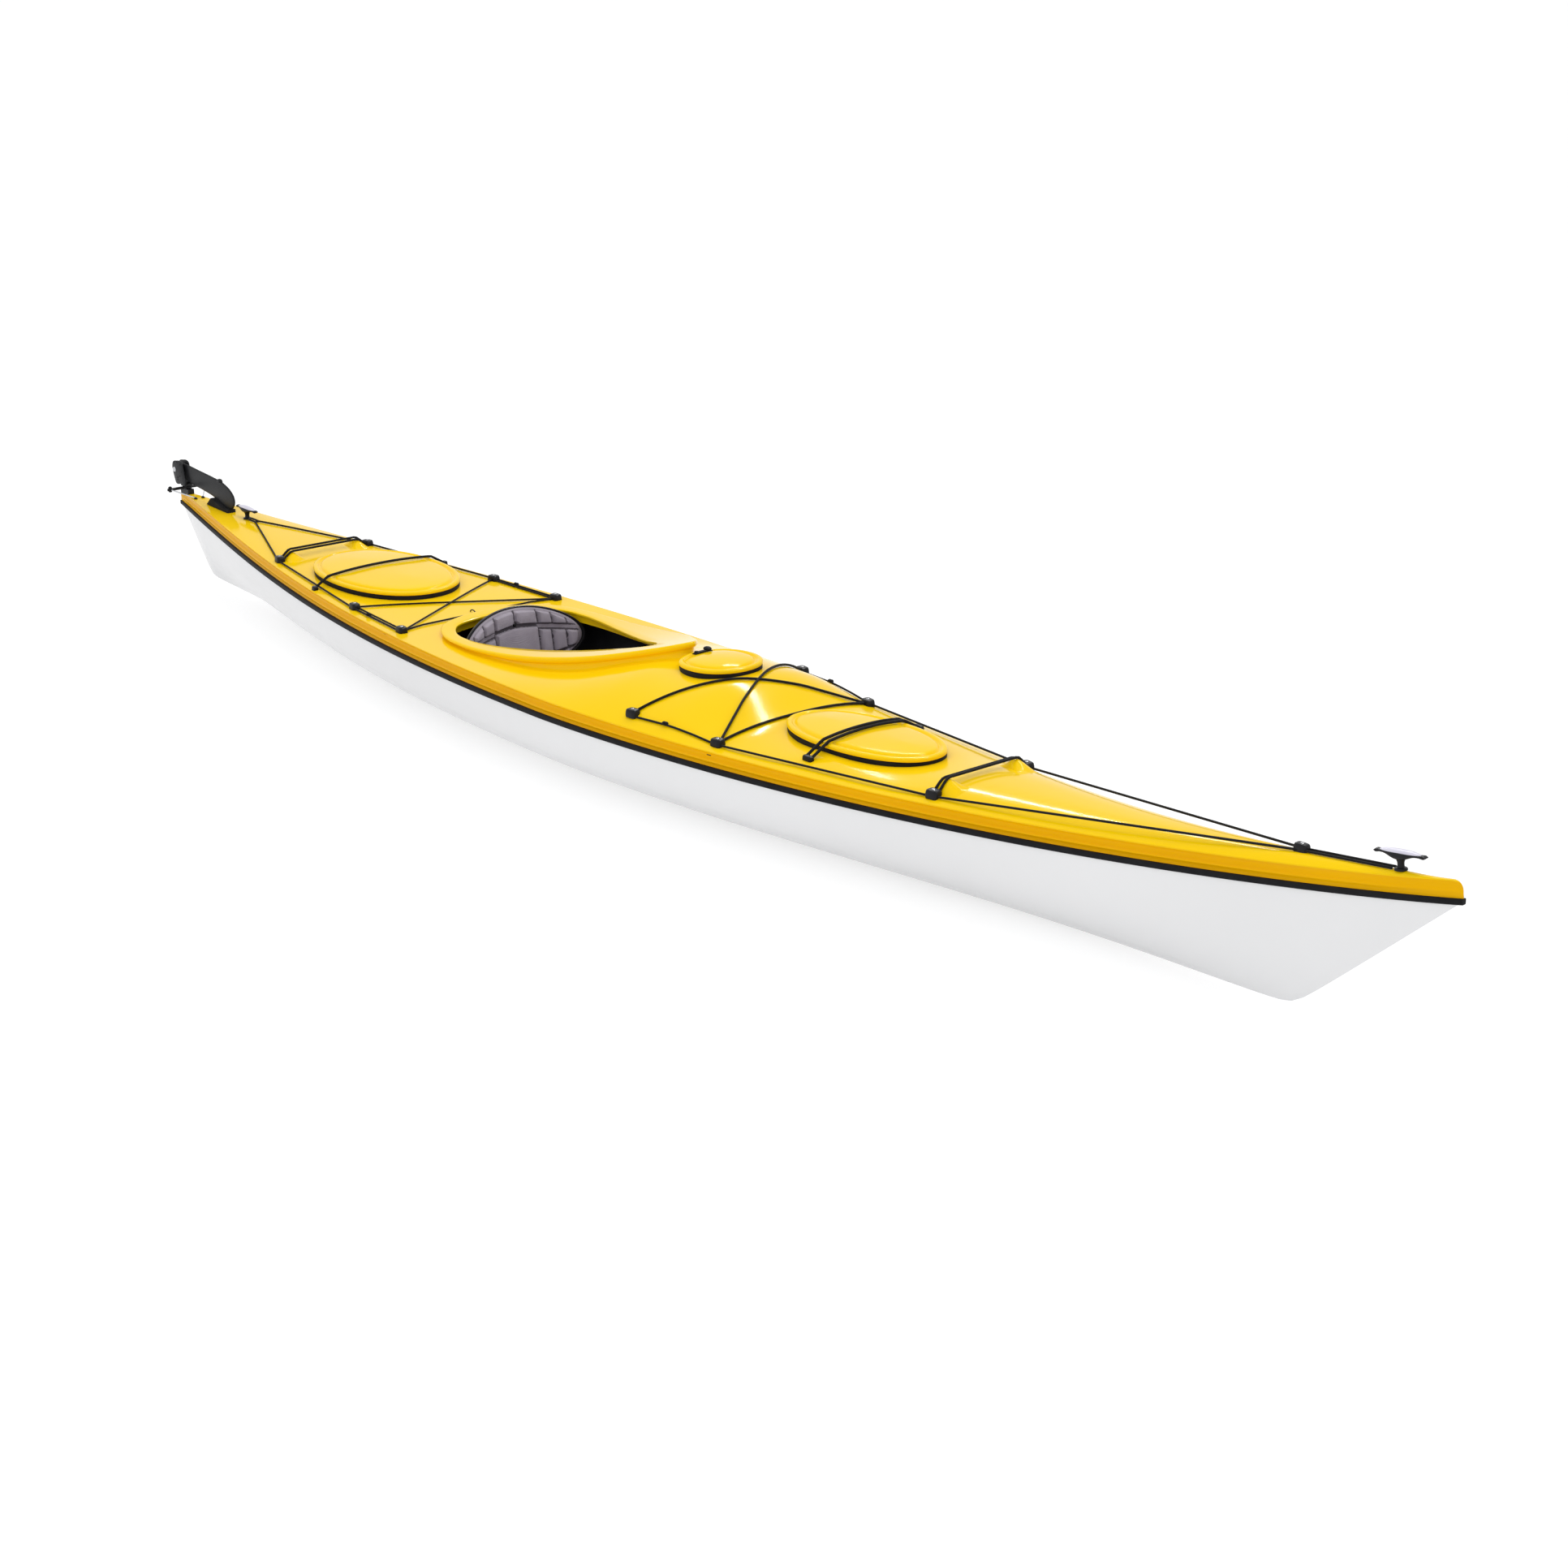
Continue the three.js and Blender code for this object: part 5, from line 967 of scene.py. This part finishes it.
def pan_z(x, y):
    along = (x - SEAT_BACK) / SEAT_LENGTH
    side = max(abs(y) - SEAT_FLAT, 0) / (SEAT_HALF - SEAT_FLAT)
    low_side = 1 - 0.6 * smooth(0.55, 1, along)
    return RAIL_TOP + GAP + SEAT_SIDE * side ** 2 * low_side + SEAT_FRONT * smooth(0.8, 1, along)


rows = []
for along in np.linspace(0, 1, PAN_ROWS):
    x, half = SEAT_BACK + SEAT_LENGTH * along, SEAT_HALF * (1 - 0.16 * along ** 3)
    ys = [half * sin(pi * (j / PAN_COLUMNS - 0.5)) for j in range(PAN_COLUMNS + 1)]
    end = 1.6 if along in (0, 1) else 0
    low = [(x, y, pan_z(x, y) + end) for y in ys]
    high = [(x, y, pan_z(x, y) + SEAT_WALL - end) for y in reversed(ys)]
    rows.append(low + high)
ears = []
for _, side in SIDES:
    levels = []
    for up, inset in ((0, 0), (40, 0), (50, 1.5), (57, 4), (61, 8)):
        ring = oval_ring(0, 6.5 - inset * 0.2, -10.5 + inset, 10.5 - inset, 20, 0.4)
        levels.append([(HINGE[0] + w, EAR_HALF * side + v, RAIL_TOP + 2.5 + up) for _, v, w in ring])
    ears.append(loft(levels))
make("seat_pan_shell", *merged(loft(rows), *ears), PLASTIC, "seat", ["seat_pan"], 40)

# Seat pad: panels between sewn channels, on a thin base that follows the pan
PAD_HALF, PAD_HEIGHT = ((SEAT_LENGTH - 26) / 2, SEAT_HALF - 26), 22.0
PAD_CENTRE = SEAT_BACK + SEAT_LENGTH / 2 + 26 / 3
SEAT_AROUND, BACK_AROUND, FRAME_AROUND = 240, 336, 160


def cushion(name, node, body, mats, base, scales, spot, cap):
    """A padded piece: base rings, then a face of spots, each a point, whether it is free and whether it is
    painted in shade.
    """
    rows = list(base)
    around = len(rows[0])
    sewn, shaded_spots = list(range(len(rows) * around)), set()
    for scale in scales:
        row = []
        for turn in turns(around):
            point, free, low = spot(turn, scale)
            if not free:
                sewn.append(len(rows) * around + len(row))
            if low:
                shaded_spots.add(len(rows) * around + len(row))
            row.append(point)
        rows.append(row)
    pad = make(name, *loft(rows), mats, angle=70)
    for poly in pad.data.polygons:
        poly.material_index = int(shaded_spots.issuperset(poly.vertices))
    puff(pad, sewn, cap)
    place(pad, body, [node], "pad_cloth")


def pad_spot(turn, scale):
    c, s = cos(turn), sin(turn)
    x = PAD_CENTRE + PAD_HALF[0] * scale * signed(c, 0.7)
    return x, PAD_HALF[1] * scale * signed(s, 0.7) * (1 - 0.1 * scale * c * abs(c))


def seat_face(turn, scale):
    x, y = pad_spot(turn, scale)
    near = min(abs(y), abs(abs(x - PAD_CENTRE) - PAD_HALF[0] * 0.34))
    border = smooth(0.9, 0.99, scale)
    crown = PAD_HEIGHT * (0.74 + 0.2 * (1 - scale ** 2)) - 9 * border
    height = crown - 6.5 * (1 - smooth(2, 9, near)) * (1 - border)
    return (x, y, pan_z(x, y) + SEAT_WALL + height), near > 3 and scale < 0.9, False


base = []
for scale, height in ((0.06, 2), (0.5, 2), (0.9, 2), (0.975, 3), (1, 6)):
    spots = [pad_spot(turn, scale) for turn in turns(SEAT_AROUND)]
    base.append([(x, y, pan_z(x, y) + SEAT_WALL + height - 1.6) for x, y in spots])
cushion("seat_cushion", "seat_pad", "seat", CLOTH, base, np.linspace(0.995, 0.03, 56), seat_face, 3.5)

# Backrest: a shell, a hinge barrel and a padded face with sewn blocks round a plain panel
BACK_HALF, BACK_TALL, BACK_DISH, BACK_FOOT = 182.0, 86.0, 46.0, 91.0
LEAN = tan(radians(8))


def dish(h, v, forward):
    up = BACK_TALL * (1 + v)
    return (HINGE[0] + BACK_DISH * h ** 2 + forward - LEAN * up, BACK_HALF * h, BACK_FOOT + up)


def back_spot(turn, scale):
    return scale * cos(turn), scale * sin(turn) * (1 - 0.08 * cos(turn) ** 2)


rows = []
for scale, forward in (
    (0.03, -7), (0.3, -7), (0.6, -7), (0.9, -7), (0.985, -6.4), (1.01, -4.6), (1.02, -1), (1.018, 2),
    (1.008, 3.6), (0.99, 3.6), (0.98, 2.2), (0.976, -0.4), (0.6, -0.4), (0.03, -0.4),
):
    rows.append([dish(*back_spot(turn, scale), forward) for turn in turns(FRAME_AROUND)])
barrel = [(3.4, -92), (3.4, -85), (6, -85), (7, -84), (7, 84), (6, 85), (3.4, 85), (3.4, 92)]
neck = []
for z, thick, half in ((84, 6, 84.6), (92, 5, 84), (98, 4, 83), (106, 3.4, 80)):
    ring = oval_ring(0, half, -thick, thick, 40, 0.3)
    neck.append([(HINGE[0] - 5 + w, v, z) for _, v, w in ring])
back = merged(loft(rows), lathe(barrel, HINGE, 28, "Y"), loft(neck))
make("backrest_frame", *back, PLASTIC, "backrest", ["backrest_shell"], 40)

TOP_COLUMNS, MIDDLE_COLUMNS, LOW_COLUMNS = (0.36, 0.57, 0.77), (0.36, 0.55, 0.75), (0.3, 0.62)
CHANNEL_BASE, PANEL_RISE, PANEL_CROWN, EDGE_FALL = 7.4, 11.5, 1.2, 5


def back_face(turn, scale):
    h, v = back_spot(turn, scale)
    far = abs(h)
    upper = 0.47 - 0.27 * far ** 1.3
    lower = -(0.54 - 0.35 * far ** 3)
    step = 0.085 * smooth(0.355, 0.375, far)
    gaps = []
    if v > upper:
        gaps.append((v - upper) * BACK_TALL - 3.5)
        gaps += [abs(far - c + 0.03 * (v - upper)) * BACK_HALF - 2 for c in TOP_COLUMNS]
        gaps.append(far * BACK_HALF - 2.4)
        gaps.append(hypot(far * BACK_HALF, (v - upper - 0.03) * BACK_TALL) - 8)
    elif v < lower:
        gaps.append((lower - v) * BACK_TALL - 3)
        gaps += [abs(far - c) * BACK_HALF - 2 for c in LOW_COLUMNS]
    else:
        gaps.append((upper - step - v) * BACK_TALL - 3.5)
        gaps.append((v - lower) * BACK_TALL - 3)
        gaps += [abs(far - c) * BACK_HALF - 2 for c in MIDDLE_COLUMNS]
    channel = min(gaps)
    bearing = atan2(v * BACK_TALL, h * BACK_HALF)
    gaps.append((0.905 - scale) * (BACK_TALL + (BACK_HALF - BACK_TALL) * cos(bearing) ** 2))
    near = min(gaps)
    rise = PANEL_RISE * smooth(0, 4, near) + PANEL_CROWN * smooth(4, 16, near)
    edge = EDGE_FALL * smooth(0.94, 0.97, scale)
    point = dish(h, v, CHANNEL_BASE + rise - edge)
    # The last value marks spots in and beside the channels, which get the darker cloth as painted shade.
    return point, near > 1.5, -4.2 < channel < 1.8 and scale < 0.93


base = []
for scale, forward in ((0.03, 0.84), (0.4, 0.84), (0.8, 0.84), (0.94, 0.84), (0.968, 1.2)):
    base.append([dish(*back_spot(turn, scale), forward) for turn in turns(BACK_AROUND)])
scales = np.linspace(0.97, 0.02, 72)
cushion("backrest_cushion", "backrest_pad", "backrest", [CLOTH, CLOTH_SHADE], base, scales, back_face, 2.2)
make("backrest_button", *ellipsoid(dish(0, 0.5, 10.5), (3.4, 5, 5)), PLASTIC, "backrest")

# Rudder
PIN_X, TILLER_BASE, HEAD_FLOOR = -2259.873, 285.2, 292.55
PIVOT, BLADE_LENGTH, BLADE_HALF, DROOP = (-2307.873, 337.05), 346.867, 28.5, radians(5)
PIVOT_CENTRE = (PIVOT[0], 0, PIVOT[1])
HEAD_TABLE = [
    (0.08, -0.02), (0.03, 0.1), (0.1, 0.4), (0.18, 0.72), (0.24, 0.93), (0.42, 1), (0.66, 0.97), (0.9, 0.9),
    (1, 0.68), (0.96, 0.4), (0.88, 0.12), (0.78, -0.08), (0.4, -0.05),
]
BLADE_TABLE = [
    (0.04, -0.74), (0.12, -0.86), (0.2, -0.92), (0.3, -0.95), (0.39, -0.95), (0.52, -1), (0.63, -1.1),
    (0.74, -1.34), (0.86, -1.58), (0.94, -1.5), (0.978, -1.14), (1, -0.6), (0.984, 0), (0.93, 0.48),
    (0.85, 0.8), (0.76, 0.97), (0.66, 1), (0.4, 0.98), (0.11, 0.92), (0, 0.7), (-0.05, 0.3), (-0.06, -0.1),
    (-0.03, -0.5),
]


def drawn_in(outline, inset):
    """An outline in the X and Z plane, moved inwards along its own normals."""
    pts = np.array(outline)
    along = np.roll(pts, -1, axis=0) - np.roll(pts, 1, axis=0)
    along /= np.linalg.norm(along, axis=1)[:, None]
    area = np.sum(pts[:, 0] * np.roll(pts[:, 1], -1) - np.roll(pts[:, 0], -1) * pts[:, 1])
    return pts + np.stack([-along[:, 1], along[:, 0]], 1) * inset * copysign(1, area)


def side_plate(outline, levels):
    """A plate in the keel's plane; each level is a place along Y and how far its edge is drawn in."""
    return loft([[(x, y, z) for x, z in drawn_in(outline, inset)] for y, inset in levels])


def plate_levels(middle, thick, edge=0.9):
    """Levels of a plate of that thickness with softened edges, for side_plate."""
    h = thick / 2
    half = [(-h, edge), (-h + edge * 0.4, edge * 0.3), (-h + edge, 0)]
    return [(middle + y, inset) for y, inset in half + [(-y, inset) for y, inset in reversed(half)]]


def head_spot(back, up):
    return PIN_X + 20 - 82 * back, HEAD_FLOOR + 8 + 67 * up


head = closed_curve([(*head_spot(back, up), 0) for back, up in HEAD_TABLE], 90)[:, :2]
parts = [side_plate(head, plate_levels(10.75 * side, 3.5)) for side in (1, -1)]
rings = []
for inset, up in ((0.8, 0), (0, 0.8), (0, 7.2), (0.8, 8)):
    ring = oval_ring(0, 12.5 - inset, -16.5 + inset, 16.5 - inset, 28, 0.3)
    rings.append([(PIN_X - 2 + w, v, HEAD_FLOOR + up) for _, v, w in ring])
parts.append(loft(rings))
make("rudder_head_plates", *merged(*parts), BLADE, "rudder_stock", ["rudder_head"], 40)
# Small discs on both head plates, in a matt black a little darker than the plates: painted shade for small
# recesses.
dots = []
shade_disc = [(2.3, -0.6), (2.3, 0.25), (1.7, 0.5), (1.1, 0.1)]
mirrored = [(r, -y) for r, y in reversed(shade_disc)]
shade_disc_spots = ((0.86, 0.86), (0.6, 0.9), (0.36, 0.84), (0.3, 0.52), (0.46, 0.3), (0.62, 0.22), (0.64, 0.12))
for back, up in shade_disc_spots:
    x, z = head_spot(back, up)
    dots += [lathe(shade_disc, (x, 12.5, z), 14, "Y"), lathe(mirrored, (x, -12.5, z), 14, "Y")]
make("rudder_head_shade_discs", *merged(*dots), RUBBER, "rudder_stock", angle=45, slot="black_plastic")
profile = [(2, -16.6), (4.6, -16.4), (6.4, -15.2), (7.2, -13.4), (7.6, -12.85), (3.9, -12.85)]
profile += [(r, -y) for r, y in reversed(profile)]
make("rudder_pivot_bolt", *lathe(profile, PIVOT_CENTRE, 28, "Y"), STEEL, "rudder_stock", ["blade_bolt"], 40)

c, s = cos(DROOP), sin(DROOP)
outline = []
for a, b in BLADE_TABLE:
    x = PIVOT[0] + a * BLADE_LENGTH * c + b * BLADE_HALF * s
    outline.append((x, PIVOT[1] - a * BLADE_LENGTH * s + b * BLADE_HALF * c, 0))
blade = closed_curve(outline, 160)[:, :2]
levels = [(-3, 6.5), (-2.6, 3.8), (-1.9, 1.7), (-1, 0.4), (0, 0), (1, 0.4), (1.9, 1.7), (2.6, 3.8), (3, 6.5)]
x = PIVOT[0] + 0.75 * BLADE_LENGTH
z = PIVOT[1] - tan(DROOP) * 0.75 * BLADE_LENGTH + BLADE_HALF
lump = []
for up, scale in ((-4.5, 1.15), (0, 1), (3, 0.9), (4.5, 0.6)):
    ring = oval_ring(0, 5.4 * scale, -9 * scale, 9 * scale, 20, 0.5)
    lump.append([(x + w, v, z + up) for _, v, w in ring])
hub = lathe([(12, -8.6), (15, -8.4), (16, -7.6), (16, 7.6), (15, 8.4), (12, 8.6)], PIVOT_CENTRE, 36, "Y")
foil = merged(side_plate(blade, levels), loft(lump), hub)
make("rudder_blade_foil", *foil, BLADE, "blade", ["rudder_blade"], 38)

# Tiller bar with its eyes and cable clamps
TILLER_REACH, CLAMP_REACH = 65, 56
tiller = []
for y in np.linspace(-1, 1, 61):
    far = abs(y) * TILLER_REACH
    half = 9 if far > 50 else 12.8 * sqrt(max(1 - (far / 17) ** 2, 0)) if far < 12 else 7.2
    if far > 56:
        half = 9 * sqrt(max(1 - ((far - 56) / 9) ** 2, 0.02))
    half = max(half, 7.2 if far < 57 else 0)
    ring = oval_ring(0, half, TILLER_BASE, TILLER_BASE + 7, 16, 0.45)
    tiller.append([(PIN_X + v, TILLER_REACH * y, w) for _, v, w in ring])
clamps = []
for _, side in SIDES:
    for profile, up in (
        ([(3.4, 0), (5.2, 1), (5.6, 3), (4.6, 5.4), (2.5, 6.6)], 6.6),
        ([(2.5, -5), (4.6, -4), (5.4, -2), (4.8, 0)], 0.6),
    ):
        clamps.append(lathe(profile, (PIN_X, CLAMP_REACH * side, TILLER_BASE + up), 20))
make("tiller_arms", *merged(loft(tiller), *clamps), PLASTIC, "rudder_stock", ["tiller_bar"], 40)
for label, side in SIDES:
    end = (PIN_X + 10, CLAMP_REACH * side, TILLER_BASE + 3.5)
    deck_x, deck_y = PIN_X + 73, 12 * side
    start = (deck_x, deck_y, deck_z(deck_x, deck_y) + 3)
    route = [tuple(a + (b - a) * share for a, b in zip(start, end)) for share in np.linspace(0, 1, 15)]
    cable = make("cable_" + label, *tube(route, 1.9), STEEL, angle=60)
    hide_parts("steering_cable_" + label)
    tuple(c * MM for c in start)
    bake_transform(cable)
    make("cable_gland_" + label, *ellipsoid((deck_x, deck_y, start[2] - 2.5), (7, 5, 5)), PLASTIC, "boat")

# What stays as the source made it gets softened edges
softened = [
    ("rudder_mount", 1.2), ("rudder_chock", 1.5), ("rudder_pin", 0.4), ("front_bulkhead", 1),
    ("rear_bulkhead", 1), ("day_hatch_pod", 1),
]
pairs = (("seat_rail", 1.5), ("thigh_brace", 3), ("foot_rail", 1.2), ("foot_carrier", 1), ("toe_pedal", 1.6))
softened += [(name + "_" + label, width) for name, width in pairs for label, _ in SIDES]
for name, width in softened:
    bevel = frame["nodes"][name].modifiers.new("bevel", "BEVEL")
    bevel.width, bevel.segments = width * MM, 2
    bevel.limit_method, bevel.angle_limit = "ANGLE", radians(35)

# Floor, light, world and camera
FLOOR_HALF = 60000
corners = [[(x * FLOOR_HALF, y * FLOOR_HALF, 0) for x in (-1, 1)] for y in (-1, 1)]
floor = make("floor", *loft(corners, closed=False), bpy.data.materials.new("floor"))


def seen(tree, share):
    """A share for rays that show the background: straight to the camera, or by way of gloss or glass."""
    path = add(tree, "ShaderNodeLightPath")
    total = path.outputs["Is Camera Ray"]
    for kind in ("Is Glossy Ray", "Is Transmission Ray"):
        total = both(tree, "MAXIMUM", total, path.outputs[kind])
    return both(tree, "MULTIPLY", total, share)


def shown(tree, lit, plain, share, output):
    """The lit shader, with the plain one mixed in where the background is seen."""
    mix = add(tree, "ShaderNodeMixShader")
    link(tree, seen(tree, share), mix.inputs["Fac"])
    link(tree, lit.outputs[0], mix.inputs[1])
    link(tree, plain.outputs[0], mix.inputs[2])
    link(tree, mix.outputs[0], tree.nodes[output].inputs["Surface"])


tree, shader = nodes_of(floor.data.materials[0])
fill(shader, {"Base Color": (0.88, 0.88, 0.88, 1), "Roughness": 0.9, "Specular IOR Level": 0.1})
shown(tree, shader, add(tree, "ShaderNodeEmission", Strength=1.25), 0.58, "Material Output")

world = bpy.data.worlds.new("studio")
scene.world = world
world.use_nodes = True
tree = world.node_tree
sky = fill(tree.nodes["Background"], {"Color": (0.94, 0.945, 0.955, 1), "Strength": 0.82})
white = add(tree, "ShaderNodeBackground", Color=(1, 1, 1, 1), Strength=1.0)
shown(tree, sky, white, 1.0, "World Output")

# Each lamp is left out of the gloss or of the spread light, so that it makes only the other
for name, at, size, power, hidden in (
    ("overhead", (0.0, 0.6, 4.2), (7.0, 2.2), 68, "visible_glossy"),
    ("near_fill", (2.5, -5.5, 3.2), (5.0, 2.0), 44, "visible_glossy"),
    ("ridge_light", (0.5, 1.6, 3.2), (7.5, 0.1), 170, "visible_diffuse"),
):
    data = bpy.data.lights.new(name, "AREA")
    data.shape, data.size, data.size_y, data.energy = "RECTANGLE", size[0], size[1], power
    obj = put(name, data)
    obj.location = at
    obj.rotation_euler = (Vector((0, 0, 0.2)) - Vector(at)).to_track_quat("-Z", "Y").to_euler()
    setattr(obj, hidden, False)

CAMERA_AT, YAW, PITCH, ROLL = (4.7997, -3.5208, 1.9885), 2.4507, -0.334, -0.011
FOCAL, PHOTO = 3202.0, 1932
data = bpy.data.cameras.new("camera")
data.sensor_width = 36.0
data.lens = FOCAL / PHOTO * data.sensor_width
camera = put("camera", data)
forward = Vector((cos(YAW) * cos(PITCH), sin(YAW) * cos(PITCH), sin(PITCH)))
right = Vector((sin(YAW), -cos(YAW), 0))
up = right.cross(forward)
right, up = right * cos(ROLL) + up * sin(ROLL), up * cos(ROLL) - right * sin(ROLL)
camera.matrix_world = Matrix.Translation(CAMERA_AT) @ Matrix((right, up, -forward)).transposed().to_4x4()
scene.camera = camera
scene.view_settings.view_transform = "Standard"
